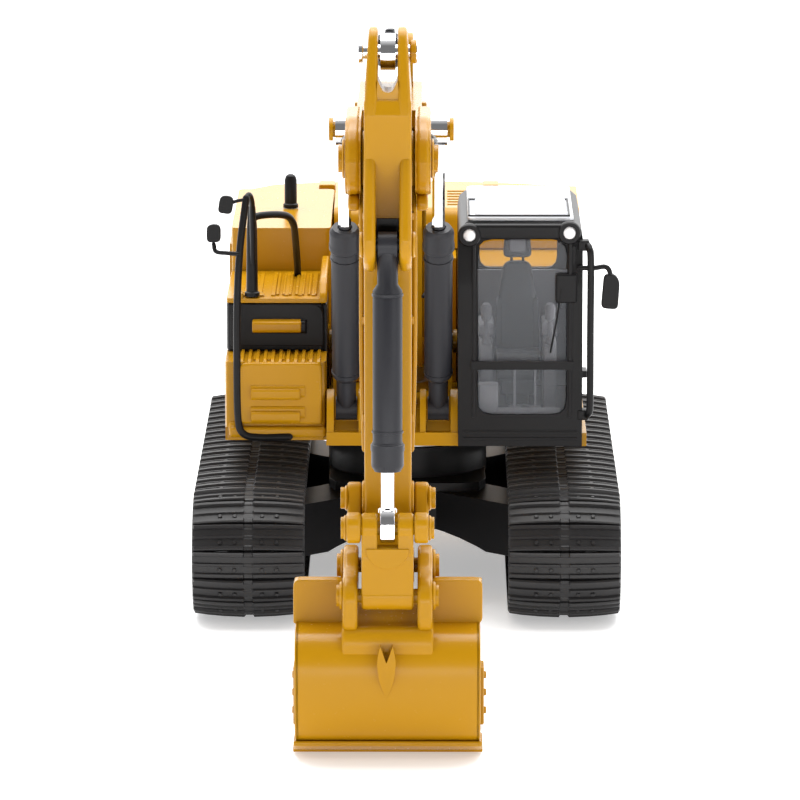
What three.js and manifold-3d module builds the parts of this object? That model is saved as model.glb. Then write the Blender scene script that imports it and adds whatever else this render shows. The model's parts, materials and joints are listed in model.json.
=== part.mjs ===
// Remote control tracked excavator, about 1:24 of a 36 tonne machine.
// Millimetres, +Z up. The machine faces -Y and its cab is on the +X side.
// Every piece is drawn in machine coordinates: the slew axis is X = Y = 0 and the ground is Z = 0.
// The outermost group moves all of it so that the origin is the middle of the footprint's box.
import * as THREE from 'three';
import { mergeVertices } from 'three/addons/utils/BufferGeometryUtils.js';
import Module from 'manifold-3d';

const wasm = await Module();
wasm.setup();

// ---------------------------------------------------------------- driving dimensions
const GAP = 0.3;                                  // clearance between neighbouring pieces

const TRACK = {
  gauge: 105.7, width: 37.6, height: 44.6, wheelbase: 166, shoes: 50,
  shoeGap: 1.3, shoeGapDepth: 1.5, shoeInner: 19.5, chainInner: 16.4, chainWidth: 13,
};
const AXLE_Z = TRACK.height / 2;
const SIDE_FRAME = { halfWidth: 7.2, armInner: 4.6, rollerRadius: 4.7, rollerPitch: 19.5, rollers: 7 };
const WHEEL_RADIUS = TRACK.chainInner - 0.6;

const SLEW = { turretRadius: 27.5, turretTop: 46.2, gearTop: 54, gearRadius: 25.5, module: 0.8, ringTeeth: 48 };
const PINION_TEETH = 12;
const PINION_Y = (SLEW.ringTeeth - PINION_TEETH) * SLEW.module / 2;

const DECK = { bottom: 55, top: 59.5, right: -61.8, left: 60.8, rear: 103.6, front: -65 };
const TAIL_RADIUS = 146;
const BODY_FLOOR = DECK.top + GAP;

const BOOM_X = -5;                                // centre plane of the whole front attachment
const FOOT = [-5, 80];                            // pivots are [Y, Z] pairs
const BOOM_BASE = [-55, 66];
const BOOM_ROD = [-99, 168.3];
const NOSE = [-252, 182];
const STICK_BASE = [-120, 198];
const STICK_TAIL = [-255, 215.3];
const BUCKET_BASE = [-275, 159.3];
const IDLER = [-256, 77.2];
const BUCKET = [-256, 56.1];
const LEVER = [-23.6, -4.3];                      // idler link and bucket lever, equal and parallel
const LINK_TOP = [IDLER[0] + LEVER[0], IDLER[1] + LEVER[1]];
const LINK_LOW = [BUCKET[0] + LEVER[0], BUCKET[1] + LEVER[1]];

const BOOM_HALF = 10.1;
const STICK_HALF = 7.2;
const NOSE_PLATE = [8.3, 13];                     // inner and outer face, from the centre plane
const LIFT_CYLINDER_X = 15.6;                     // from the centre plane
const IDLER_PLATE = [8.2, 12.4];
const EAR_PLATE = [9.2, 13.6];
const BUCKET_HALF = 28.85;

const CAB = { x: [17.3, 59.2], y: [-68, 8], floor: 59.8, sill: 55.5, roof: 132, wall: 2.2 };
const BOX = { x: [-61.8, -27.5], front: -58, stepBack: -39.5, tankRear: 16.3 };
const BOX_TOP = 82.5;
const TANK_TOP = 99.2;
const HOUSING_TOP = 116.2;
const SIDE_TOP = 104.2;
const HOOD = { x: [-26.4, 60.8], y: [42, 103.6], z: [104.6, 118] };

const FRONT_END = -289.4;                         // lifting eye on the back of the bucket
const ORIGIN_Y = (FRONT_END + TAIL_RADIUS) / 2;

// ---------------------------------------------------------------- finishes
const finish = (color, roughness, metalness) => ({ color, roughness, metalness });
const YELLOW = finish(0xd59a1e, 0.35, 0.1);
const BLACK = finish(0x1b1b1d, 0.5, 0.1);
const TRACK_BLACK = finish(0x242325, 0.6, 0.1);
const BARREL_GREY = finish(0x3b3b3f, 0.4, 0.3);
const CHROME = finish(0xd8d8d8, 0.12, 1);
const STEEL = finish(0x8d8d90, 0.35, 0.9);
const GLASS = finish(0xbfc4cc, 0.05, 0);
const LENS = finish(0xf0f0f2, 0.1, 0);
const TRIM_GREY = finish(0x4a4a50, 0.7, 0);
const SEAT_GREY = finish(0x2a2a2e, 0.9, 0);
const BOARD_GREEN = finish(0x1f5a34, 0.5, 0);
const PACK_BLUE = finish(0x25406a, 0.5, 0);
const SWITCH_RED = finish(0xa02018, 0.4, 0);

// ---------------------------------------------------------------- solids
function solid(geometry) {
  geometry.deleteAttribute('normal');
  geometry.deleteAttribute('uv');
  const merged = mergeVertices(geometry, 1e-4);
  return new wasm.Manifold(new wasm.Mesh({
    numProp: 3,
    vertProperties: new Float32Array(merged.attributes.position.array),
    triVerts: new Uint32Array(merged.index.array),
  }));
}

const join = (...solids) => solids.reduce((whole, next) => whole.add(next));
const cut = (body, ...tools) => tools.reduce((rest, tool) => rest.subtract(tool), body);

// An outline through points [a, b, radius]; a corner with a radius is rounded.
function outline(points, corner = 0) {
  const shape = new THREE.Shape();
  const at = (i) => new THREE.Vector2(...points[(i + points.length) % points.length].slice(0, 2));
  points.forEach((point, i) => {
    const radius = point[2] ?? corner;
    const here = at(i);
    const before = at(i - 1).sub(here);
    const after = at(i + 1).sub(here);
    const reach = Math.min(radius, before.length() * 0.49, after.length() * 0.49);
    const start = before.setLength(reach).add(here);
    const end = after.setLength(reach).add(here);
    if (i === 0) shape.moveTo(start.x, start.y);
    else shape.lineTo(start.x, start.y);
    if (reach > 0) shape.quadraticCurveTo(here.x, here.y, end.x, end.y);
  });
  shape.closePath();
  return shape;
}

const asShape = (profile, corner) => (Array.isArray(profile) ? outline(profile, corner) : profile);

// Extrusions: the profile's two axes and the direction of the sweep follow the name.
function extrude(profile, depth, corner, segments) {
  return new THREE.ExtrudeGeometry(asShape(profile, corner), {
    depth, bevelEnabled: false, curveSegments: segments,
  });
}

function alongX(profile, x0, x1, corner = 0, segments = 3) {      // profile in (Y, Z)
  const geometry = extrude(profile, x1 - x0, corner, segments);
  geometry.applyMatrix4(new THREE.Matrix4().set(0, 0, 1, x0, 1, 0, 0, 0, 0, 1, 0, 0, 0, 0, 0, 1));
  return solid(geometry);
}

function alongY(profile, y0, y1, corner = 0, segments = 3) {      // profile in (X, Z)
  const geometry = extrude(profile, y1 - y0, corner, segments);
  geometry.applyMatrix4(new THREE.Matrix4().set(1, 0, 0, 0, 0, 0, -1, y1, 0, 1, 0, 0, 0, 0, 0, 1));
  return solid(geometry);
}

function alongZ(profile, z0, z1, corner = 0, segments = 3) {      // profile in (X, Y)
  const geometry = extrude(profile, z1 - z0, corner, segments);
  geometry.translate(0, 0, z0);
  return solid(geometry);
}

const rectangle = ([a0, a1], [b0, b1]) => [[a0, b0], [a1, b0], [a1, b1], [a0, b1]];

function block(x, y, z) {
  const geometry = new THREE.BoxGeometry(x[1] - x[0], y[1] - y[0], z[1] - z[0]);
  geometry.translate((x[0] + x[1]) / 2, (y[0] + y[1]) / 2, (z[0] + z[1]) / 2);
  return solid(geometry);
}

// A turned piece: profile of [distance along the axis, radius], starting and ending on the axis.
function turned(profile, from, to, segments = 14) {
  const geometry = new THREE.LatheGeometry(profile.map(([t, r]) => new THREE.Vector2(r, t)), segments);
  const axis = new THREE.Vector3().subVectors(to, from).normalize();
  geometry.applyQuaternion(new THREE.Quaternion().setFromUnitVectors(new THREE.Vector3(0, 1, 0), axis));
  geometry.translate(from.x, from.y, from.z);
  return solid(geometry);
}

const point = (x, [y, z]) => new THREE.Vector3(x, y, z);

function bar(from, to, radius, segments = 14) {
  const length = from.distanceTo(to);
  return turned([[0, 0], [0, radius], [length, radius], [length, 0]], from, to, segments);
}

const pinX = ([y, z], x0, x1, radius, segments = 14) => (
  bar(new THREE.Vector3(x0, y, z), new THREE.Vector3(x1, y, z), radius, segments));

function tube(points, radius, steps, tension = 0.5) {
  const path = new THREE.CatmullRomCurve3(points.map((p) => new THREE.Vector3(...p)), false, 'catmullrom', tension);
  const section = new THREE.Shape();
  section.absarc(0, 0, radius, 0, Math.PI * 2);
  const geometry = new THREE.ExtrudeGeometry(section, { extrudePath: path, steps, curveSegments: 3 });
  return solid(geometry);
}

// A pair of mirror-image plates about the attachment's centre plane.
function twin(profile, [inner, outer], corner, segments) {
  return join(
    alongX(profile, BOOM_X + inner, BOOM_X + outer, corner, segments),
    alongX(profile, BOOM_X - outer, BOOM_X - inner, corner, segments),
  );
}

// The rounded bar shape round two bosses, as a convex outline.
function strap(a, b, radiusA, radiusB) {
  const heading = Math.atan2(b[1] - a[1], b[0] - a[0]);
  const shape = new THREE.Shape();
  shape.absarc(a[0], a[1], radiusA, heading + Math.PI / 2, heading + Math.PI * 1.5, false);
  shape.absarc(b[0], b[1], radiusB, heading - Math.PI / 2, heading + Math.PI / 2, false);
  shape.closePath();
  return shape;
}

// A bent plate: a path of points, thickened towards its left side.
function bentPlate(path, thickness) {
  const inner = path.map((p, i) => {
    const before = path[Math.max(i - 1, 0)];
    const after = path[Math.min(i + 1, path.length - 1)];
    const normals = [[before, p], [p, after]].filter(([u, v]) => u !== v).map(([u, v]) => (
      new THREE.Vector2(u[1] - v[1], v[0] - u[0]).normalize()));
    const mean = normals.reduce((sum, n) => sum.add(n), new THREE.Vector2()).normalize();
    const reach = thickness / mean.dot(normals[0].normalize());
    return [p[0] + mean.x * reach, p[1] + mean.y * reach];
  });
  return [...path, ...inner.reverse()];
}

// ---------------------------------------------------------------- scene graph
const machine = new THREE.Group();
machine.position.y = -ORIGIN_Y;

function place(parent, name, body, look, pivot = [0, 0, 0]) {
  const { vertProperties, triVerts } = body.getMesh();
  const geometry = new THREE.BufferGeometry();
  geometry.setAttribute('position', new THREE.BufferAttribute(vertProperties, 3));
  geometry.setIndex(new THREE.BufferAttribute(triVerts, 1));
  geometry.translate(-pivot[0], -pivot[1], -pivot[2]);
  const mesh = new THREE.Mesh(geometry, new THREE.MeshStandardMaterial(look));
  mesh.name = name;
  mesh.position.set(...pivot);
  parent.add(mesh);
}

function newGroup(parent) {
  const group = new THREE.Group();
  parent.add(group);
  return group;
}

const SIDES = [['right', -1], ['left', 1]];

// ---------------------------------------------------------------- undercarriage
// A point on a track-shaped loop of radius r, s millimetres along the loop of radius pitch.
function loopPoint(s, r, pitch) {
  const straight = TRACK.wheelbase;
  const arc = Math.PI * pitch;
  const total = 2 * (straight + arc);
  const u = ((s % total) + total) % total;
  const half = straight / 2;
  if (u < straight) return [u - half, AXLE_Z - r];
  if (u < straight + arc) {
    const a = (u - straight) / pitch - Math.PI / 2;
    return [half + r * Math.cos(a), AXLE_Z + r * Math.sin(a)];
  }
  if (u < 2 * straight + arc) return [half - (u - straight - arc), AXLE_Z + r];
  const a = (u - 2 * straight - arc) / pitch + Math.PI / 2;
  return [-half + r * Math.cos(a), AXLE_Z + r * Math.sin(a)];
}

function loopShape(r) {
  const half = TRACK.wheelbase / 2;
  const shape = new THREE.Path();
  shape.absarc(half, AXLE_Z, r, -Math.PI / 2, Math.PI / 2, false);
  shape.absarc(-half, AXLE_Z, r, Math.PI / 2, Math.PI * 1.5, false);
  shape.closePath();
  return shape;
}

function trackBelt(x) {
  const outer = TRACK.height / 2;
  const pitch = outer - 1.4;
  const total = 2 * (TRACK.wheelbase + Math.PI * pitch);
  const step = total / TRACK.shoes;
  const points = [];
  for (let i = 0; i < TRACK.shoes; i += 1) {
    const start = i * step + TRACK.shoeGap / 2;
    const end = (i + 1) * step - TRACK.shoeGap / 2;
    const low = outer - TRACK.shoeGapDepth;
    points.push(loopPoint(start, low, pitch), loopPoint(start, outer, pitch));
    points.push(loopPoint(end, outer, pitch), loopPoint(end, low, pitch));
  }
  const shoes = outline(points);
  shoes.holes.push(loopShape(TRACK.shoeInner));
  const chain = new THREE.Shape(loopShape(TRACK.shoeInner + 0.4).getPoints(6));
  chain.holes.push(loopShape(TRACK.chainInner));
  const halfWidth = TRACK.width / 2;
  return join(
    alongX(shoes, x - halfWidth, x + halfWidth, 0, 6),
    alongX(chain, x - TRACK.chainWidth / 2, x + TRACK.chainWidth / 2, 0, 6),
  );
}

function sideFrame(x, side) {
  const half = SIDE_FRAME.halfWidth;
  const body = alongX([[-64, 13], [62, 13], [66, 18], [66, 27], [58, 33], [-50, 33], [-63, 30], [-66, 24]],
    x - half, x + half);
  const solids = [body];
  for (let i = 0; i < SIDE_FRAME.rollers; i += 1) {
    const y = (i - (SIDE_FRAME.rollers - 1) / 2) * SIDE_FRAME.rollerPitch;
    const z = AXLE_Z - TRACK.chainInner + 0.4 + SIDE_FRAME.rollerRadius;
    solids.push(pinX([y, z], x - 6, x + 6, SIDE_FRAME.rollerRadius, 12));
  }
  for (const y of [-26, 28]) {
    solids.push(pinX([y, AXLE_Z + TRACK.chainInner - 3.6], x - 5, x + 5, 3.2, 10));
  }
  const arm = SIDE_FRAME.armInner;
  const idlerArm = [[-60, 17], [-60, 30], [-72, 27.5], [-88, 27, 3], [-88, 18, 3], [-72, 16]];
  solids.push(alongX(idlerArm, x + arm, x + half));
  solids.push(alongX(idlerArm, x - half, x - arm));
  const driveArm = [[60, 16], [72, 14], [92, 15, 5], [92, 30, 5], [72, 31], [60, 30]];
  const inner = -side * half;
  const driveX = [x + inner, x - side * arm].sort((a, b) => a - b);
  solids.push(alongX(driveArm, ...driveX));
  const bore = pinX([TRACK.wheelbase / 2, AXLE_Z], x - 9, x + 9, 3.1);
  const idlerBore = pinX([-TRACK.wheelbase / 2, AXLE_Z], x - 9, x + 9, 2.3, 10);
  return cut(join(...solids), bore, idlerBore);
}

function travelMotor(x, side) {
  const inward = -side;
  const face = x + inward * (SIDE_FRAME.halfWidth + GAP);
  const start = new THREE.Vector3(face, TRACK.wheelbase / 2, AXLE_Z);
  const shaftEnd = new THREE.Vector3(x + inward * 3.8, TRACK.wheelbase / 2, AXLE_Z);
  const can = turned([[0, 0], [0, 8.6], [3, 8.6], [3, 7], [11, 7], [12, 6], [12, 0]],
    start, start.clone().add(new THREE.Vector3(inward, 0, 0)), 16);
  return join(can, bar(start.clone().add(new THREE.Vector3(inward * 0.5, 0, 0)), shaftEnd, 2.6, 12));
}

function sprocket(x, side) {
  const teeth = 13;
  const root = WHEEL_RADIUS - 2.6;
  const shape = new THREE.Shape();
  const centre = [TRACK.wheelbase / 2, AXLE_Z];
  for (let i = 0; i < teeth; i += 1) {
    const profile = [[-0.34, root], [-0.16, WHEEL_RADIUS], [0.16, WHEEL_RADIUS], [0.34, root]];
    for (const [offset, radius] of profile) {
      const a = ((i + offset) / teeth) * Math.PI * 2;
      const where = [centre[0] + radius * Math.cos(a), centre[1] + radius * Math.sin(a)];
      if (i === 0 && offset === -0.34) shape.moveTo(...where);
      else shape.lineTo(...where);
    }
  }
  shape.closePath();
  const outward = new THREE.Vector3(side, 0, 0);
  const hubBase = new THREE.Vector3(x + side * 2, ...centre);
  const hub = turned([[0, 0], [0, 9], [3.4, 9], [5.8, 7], [6.6, 7], [6.6, 0]],
    hubBase, hubBase.clone().add(outward), 16);
  const solids = [alongX(shape, x - 3, x + 3), hub];
  for (let i = 0; i < 6; i += 1) {
    const a = (i / 6) * Math.PI * 2;
    const where = [centre[0] + 5.2 * Math.cos(a), centre[1] + 5.2 * Math.sin(a)];
    solids.push(pinX(where, ...[x + side * 8, x + side * 9.2].sort((p, q) => p - q), 0.9, 5));
  }
  return join(...solids);
}

function idlerWheel(x) {
  const r = WHEEL_RADIUS;
  const centre = new THREE.Vector3(x - 7, -TRACK.wheelbase / 2, AXLE_Z);
  const profile = [[0, 0], [0, 2], [3, 2], [3, 5], [5, 6], [3.4, r - 2.4], [3.4, r],
    [10.6, r], [10.6, r - 2.4], [9, 6], [11, 5], [11, 2], [14, 2], [14, 0]];
  return turned(profile, centre, new THREE.Vector3(x + 7, centre.y, centre.z), 20);
}

function undercarriageFrame() {
  const legs = [];
  const reach = TRACK.gauge / 2 - SIDE_FRAME.halfWidth - GAP;
  for (const sx of [-1, 1]) {
    for (const sy of [-1, 1]) {
      const plan = [[16, 12], [reach, 40], [reach, 60], [40, 62], [10, 36]].map(([x, y]) => [sx * x, sy * y]);
      legs.push(alongZ(sx * sy > 0 ? plan : plan.reverse(), 15, 33));
    }
  }
  const centre = alongZ(rectangle([-27, 27], [-36, 36]), 18, 36, 9, 2);
  const turret = bar(new THREE.Vector3(0, 0, 34), new THREE.Vector3(0, 0, SLEW.turretTop), SLEW.turretRadius, 40);
  const well = bar(new THREE.Vector3(0, 0, 39), new THREE.Vector3(0, 0, 50), 17.5, 24);
  const archRadius = 70;
  const arch = bar(new THREE.Vector3(0, -80, 20.5 - archRadius), new THREE.Vector3(0, 80, 20.5 - archRadius),
    archRadius, 72);
  return cut(join(centre, turret, ...legs), well, arch);
}

// A ring of straight-sided teeth, narrower than their gaps so that the mesh keeps its backlash.
function toothRing(teeth, root, tip, phase, centre) {
  const points = [];
  for (let i = 0; i < teeth; i += 1) {
    for (const [offset, radius] of [[-0.26, root], [-0.13, tip], [0.13, tip], [0.26, root]]) {
      const a = ((i + offset) / teeth) * Math.PI * 2 + phase;
      points.push([centre[0] + radius * Math.cos(a), centre[1] + radius * Math.sin(a)]);
    }
  }
  return outline(points);
}

function slewRingGear() {
  const pitchRadius = SLEW.ringTeeth * SLEW.module / 2;
  const ring = new THREE.Shape();
  ring.absarc(0, 0, SLEW.gearRadius, 0, Math.PI * 2);
  ring.holes.push(toothRing(SLEW.ringTeeth, pitchRadius + 0.9, pitchRadius - 0.6, 0, [0, 0]));
  return alongZ(ring, SLEW.turretTop + GAP, SLEW.gearTop, 0, 20);
}

function slewPinion() {
  const radius = PINION_TEETH * SLEW.module / 2;
  const teeth = toothRing(PINION_TEETH, radius - 0.9, radius + 0.6, Math.PI / PINION_TEETH, [0, PINION_Y]);
  const shaft = bar(new THREE.Vector3(0, PINION_Y, 50), new THREE.Vector3(0, PINION_Y, DECK.top), 2, 12);
  return join(alongZ(teeth, SLEW.turretTop + 1, SLEW.gearTop - 0.4), shaft);
}

const undercarriage = newGroup(machine);
place(undercarriage, 'undercarriage_frame', undercarriageFrame(), BLACK);
place(undercarriage, 'slew_ring_gear', slewRingGear(), STEEL);
for (const [name, side] of SIDES) {
  const x = side * TRACK.gauge / 2;
  const half = TRACK.wheelbase / 2;
  place(undercarriage, `track_frame_${name}`, sideFrame(x, side), BLACK, [x, 0, AXLE_Z]);
  place(undercarriage, `track_belt_${name}`, trackBelt(x), TRACK_BLACK, [x, 0, AXLE_Z]);
  place(undercarriage, `travel_motor_${name}`, travelMotor(x, side), BLACK, [x, half, AXLE_Z]);
  place(undercarriage, `drive_sprocket_${name}`, sprocket(x, side), BLACK, [x, half, AXLE_Z]);
  place(undercarriage, `front_idler_${name}`, idlerWheel(x), BLACK, [x, -half, AXLE_Z]);
}

// ---------------------------------------------------------------- upper structure
const upper = newGroup(machine);

function revolvingFrame() {
  const { left, right, rear, front } = DECK;
  const plan = [[right, BOX.front + 2.3], [BOX.x[1] + 0.2, BOX.front + 2.3], [BOX.x[1] + 0.2, front],
    [CAB.x[0] - 0.4, front], [CAB.x[0] - 0.4, CAB.y[0] + 2.6], [left, CAB.y[0] + 2.6], [left, rear], [right, rear]];
  const deck = alongZ(plan.map(([x, y]) => [x, y]), DECK.bottom, DECK.top);
  const bearing = new THREE.Shape();
  bearing.absarc(0, 0, 25, 0, Math.PI * 2);
  bearing.holes.push(new THREE.Path().absarc(0, 0, 21, 0, Math.PI * 2));
  const race = alongZ(bearing, SLEW.gearTop + GAP, DECK.bottom + 1, 0, 12);
  const cheeks = twin([[-42, 59], [-37, 78, 3], [-16, 97, 5], [5, 97, 5], [21, 72, 4], [23, 59]], [17.7, 20.4]);
  const solids = [deck, race, cheeks];
  const cuts = [pinX(FOOT, BOOM_X - 25, BOOM_X + 25, 3.3),
    bar(new THREE.Vector3(0, PINION_Y, 40), new THREE.Vector3(0, PINION_Y, 70), 2.6)];
  for (const side of [-1, 1]) {
    const x = BOOM_X + side * LIFT_CYLINDER_X;
    const ear = [[-64.6, 58], [-63, 68, 4], [-57, 73, 4], [-51, 72, 4], [-45, 62, 2], [-44, 58]];
    for (const [a, b] of [[4.2, 6.6], [-6.2, -4.2]]) {
      solids.push(alongX(ear, ...[x + side * a, x + side * b].sort((p, q) => p - q)));
    }
    cuts.push(block([x - 4.1, x + 4.1], [-61.5, -44], [50, 70]));
  }
  return cut(join(...solids), ...cuts);
}

function counterweight() {
  const half = DECK.left;
  const plan = new THREE.Shape();
  const sweep = Math.asin(50 / (TAIL_RADIUS - 2.5));
  plan.moveTo(-half + 2.5, DECK.rear + GAP + 2.5);
  plan.lineTo(half - 2.5, DECK.rear + GAP + 2.5);
  plan.lineTo(half - 2.5, 124);
  plan.absarc(0, 0, TAIL_RADIUS - 2.5, Math.PI / 2 - sweep, Math.PI / 2 + sweep, false);
  plan.lineTo(-half + 2.5, 124);
  plan.closePath();
  const geometry = new THREE.ExtrudeGeometry(plan, {
    depth: 56, curveSegments: 10, bevelThickness: 2.5, bevelSize: 2.5, bevelSegments: 1,
  });
  geometry.translate(0, 0, 54.5);
  const hook = (x) => block([x - 3, x + 3], [118, 128], [110, 115.5]);
  return join(solid(geometry), hook(-30), hook(30));
}

function slewMotor() {
  const foot = new THREE.Vector3(0, PINION_Y, BODY_FLOOR);
  const profile = [[0, 0], [0, 8], [3, 8], [3, 6], [15, 6], [15, 4.6], [22, 4.6], [22, 0]];
  return turned(profile, foot, foot.clone().setZ(100), 18);
}

// A box-shaped cover, open underneath, with rounded upright edges.
function cover(x, y, z, wall, corner) {
  const shell = alongZ(rectangle(x, y), z[0], z[1], corner, 2);
  const room = block([x[0] + wall, x[1] - wall], [y[0] + wall, y[1] - wall], [z[0] - 1, z[1] - wall]);
  return cut(shell, room);
}

function stepBox() {
  const { x, front, stepBack, tankRear } = BOX;
  const body = cover(x, [front, tankRear], [BODY_FLOOR, BOX_TOP], 2, 2);
  const skirt = block([x[0] + 1, x[1] - 1], [front, front + 2], [DECK.bottom + 0.5, BODY_FLOOR + 1]);
  const solids = [body, skirt];
  solids.push(stepBar(front, 65.6), stepBar(front, 72.8));
  for (let i = 0; i < 6; i += 1) {
    const ribX = x[0] + 5 + i * 4.6;
    solids.push(block([ribX, ribX + 1.4], [front + 2, stepBack - 1.5], [BOX_TOP - 0.5, BOX_TOP + 0.6]));
  }
  return join(...solids);
}

// A step bar standing out of the front face at height z.
function stepBar(face, z) {
  return alongX([[face - 3, z - 2.2, 1.2], [face + 1, z - 2.2], [face + 1, z + 2.2], [face - 3, z + 2.2, 1.2]],
    -53, -34.6);
}

function fuelTank() {
  const z = [BOX_TOP + GAP, TANK_TOP];
  const tank = alongZ(rectangle([BOX.x[0], BOX.x[1] - 1], [BOX.stepBack, BOX.tankRear]), ...z, 2.4, 2);
  return join(tank, stepBar(BOX.stepBack, 91.5));
}

function tankTopTread() {
  const z = TANK_TOP + GAP;
  const plate = alongZ(rectangle([BOX.x[0], BOX.x[1]], [BOX.stepBack, BOX.tankRear]), z, z + 1.6, 1.5, 2);
  const ribs = [];
  for (let i = 0; i < 6; i += 1) {
    const ribX = BOX.x[0] + 6 + i * 4.6;
    ribs.push(block([ribX, ribX + 1.4], [BOX.stepBack + 4, BOX.tankRear - 6], [z + 1.2, z + 2.2]));
  }
  return join(plate, ...ribs);
}

function rightHousing() {
  const y = [BOX.tankRear + GAP, DECK.rear];
  const shell = cover([BOX.x[0], BOX.x[1] + 0.5], y, [BODY_FLOOR, HOUSING_TOP], 1.8, 2);
  const doors = [[20, 58], [62, 100]].map(([y0, y1]) => (
    block([BOX.x[0] - 0.8, BOX.x[0] + 0.5], [y0, y1], [65, 110])));
  return join(shell, ...doors);
}

function leftHousing() {
  const x = [CAB.x[0], DECK.left];
  const shell = cover(x, [CAB.y[1] + GAP, DECK.rear], [BODY_FLOOR, SIDE_TOP], 1.8, 2);
  const vents = [];
  for (let i = 0; i < 7; i += 1) {
    vents.push(block([x[1] - 0.8, x[1] + 1], [18, 46], [70 + i * 4, 71.6 + i * 4]));
  }
  const slot = block([x[1] - 3, x[1] + 1], [84, 92], [68, 72]);
  const door = block([x[1] - 0.5, x[1] + 0.7], [52, 80], [64, 100]);
  return cut(join(shell, door), ...vents, slot);
}

function batteryBay() {
  const x = [HOOD.x[0], CAB.x[0] - GAP];
  const tub = block(x, [25, DECK.rear], [BODY_FLOOR, SIDE_TOP]);
  const room = block([x[0] + 1.8, x[1] - 1.8], [26.8, DECK.rear - 1.8], [BODY_FLOOR + 1.8, SIDE_TOP - 1.8]);
  const mouth = block([x[0] + 1.8, x[1] - 1.8], [HOOD.y[0] + 1, DECK.rear - 1.8], [SIDE_TOP - 5, SIDE_TOP + 1]);
  return cut(tub, room, mouth);
}

function engineHood() {
  const { x, y, z } = HOOD;
  const side = [[y[0], z[0]], [y[1], z[0]], [y[1], z[1], 4], [y[0] + 5, z[1], 4]];
  const shell = cut(
    alongX(side, ...x),
    block([x[0] + 1.8, x[1] - 1.8], [y[0] + 5, y[1] - 1.8], [z[0] - 1, z[1] - 1.8]),
  );
  const louvres = [];
  for (let i = 0; i < 6; i += 1) {
    louvres.push(block([14, 50], [56 + i * 6, 59 + i * 6], [z[1] - 0.8, z[1] + 1]));
  }
  return cut(shell, ...louvres);
}

function exhaustStack() {
  const foot = new THREE.Vector3(-42, 60, HOUSING_TOP + GAP);
  const profile = [[0, 0], [0, 2.7], [1.2, 2.7], [1.6, 2.2], [10, 2.2], [11.4, 1.7], [12, 0.8], [12, 0]];
  return turned(profile, foot, foot.clone().setZ(200), 16);
}


function tankGuardRail() {
  const floor = TANK_TOP + GAP + 1.6 + GAP;
  const post = bar(new THREE.Vector3(-53, -37.6, floor), new THREE.Vector3(-53, -37.6, 132), 1.8, 10);
  const hoop = tube([[-53, -37.6, 130.5], [-46, -31, 131], [-41, -24, 129.6], [-39, -14, 126], [-38, 0, 115],
    [-37.4, 12.6, floor + 0.7]], 1.15, 16);
  return join(post, hoop);
}

// An oval mirror whose stalk ends on the handrail at [X, Y, Z].
function ovalMirror([x, y, z], width, height, stalkEnd) {
  const shape = new THREE.Shape();
  shape.absellipse(x, z, width / 2, height / 2, 0, Math.PI * 2);
  const stalkStart = new THREE.Vector3(x, y, z - height / 2 + 0.8);
  return join(alongY(shape, y - 1, y + 1, 0, 4), bar(stalkStart, new THREE.Vector3(...stalkEnd), 0.7, 8));
}

function stepHandrail() {
  const y = BOX.front - 2;
  const rail = tube([[-40, y, 57], [-50, y, 56.8], [-55.6, y, 58], [-57.2, y, 64], [-57.4, y, 84],
    [-57.4, y, 104], [-56.6, y + 2, 120], [-54.6, y + 6, 138.6]], 1.15, 24);
  return join(rail,
    ovalMirror([-61.5, y + 4, 135.5], 5, 6.4, [-55.2, y + 4.6, 132.6]),
    ovalMirror([-65, y + 2, 126], 4.4, 7.6, [-56.4, y + 2.4, 121.4]));
}

place(upper, 'revolving_frame', revolvingFrame(), YELLOW);
place(upper, 'counterweight', counterweight(), YELLOW);
place(upper, 'slew_motor', slewMotor(), BARREL_GREY, [0, PINION_Y, BODY_FLOOR]);
place(upper, 'slew_pinion', slewPinion(), STEEL, [0, PINION_Y, DECK.bottom]);
place(upper, 'step_box', stepBox(), YELLOW);
place(upper, 'fuel_tank', fuelTank(), BLACK);
place(upper, 'tank_top_tread', tankTopTread(), YELLOW);
place(upper, 'right_housing', rightHousing(), YELLOW);
place(upper, 'left_housing', leftHousing(), YELLOW);
place(upper, 'battery_bay', batteryBay(), YELLOW);
place(upper, 'engine_hood', engineHood(), YELLOW, [0, HOOD.y[0], HOOD.z[0]]);
place(upper, 'exhaust_stack', exhaustStack(), BLACK);
place(upper, 'step_handrail', stepHandrail(), BLACK);
place(upper, 'tank_guard_rail', tankGuardRail(), BLACK);

// Electrics
const PACK = { x: [-21, 12], y: [48, 98], z: [61.9, 80] };
const packBody = alongY(rectangle(PACK.x, PACK.z), ...PACK.y, 3, 2);
place(upper, 'battery_pack', packBody, PACK_BLUE);
const board = join(
  block([24, 54], [30, 76], [63, 64.6]),
  block([30, 44], [40, 52], [64, 67]),
  block([34, 50], [60, 70], [64, 69]),
  ...[[26, 32], [52, 32], [26, 74], [52, 74]].map(([x, y]) => (
    bar(new THREE.Vector3(x, y, BODY_FLOOR), new THREE.Vector3(x, y, 63.5), 1.4, 8))),
);
place(upper, 'control_board', board, BOARD_GREEN);
const knob = join(
  block([56, 58.6], [83, 90], [67, 73]),
  block([58, DECK.left + 1.2], [84.4, 88.4], [68.4, 71.6]),
);
place(upper, 'power_switch', knob, SWITCH_RED, [58, 86.4, 70]);

// ---------------------------------------------------------------- cab
const cab = newGroup(upper);
const WINDOW = { x: [23.7, 54], z: [66.2, 126], door: [-60, -9], doorZ: [62.5, 126] };
const HATCH = { x: [25, 52], y: [-56, -20] };
const grown = ([a, b], by) => [a - by, b + by];

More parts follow.
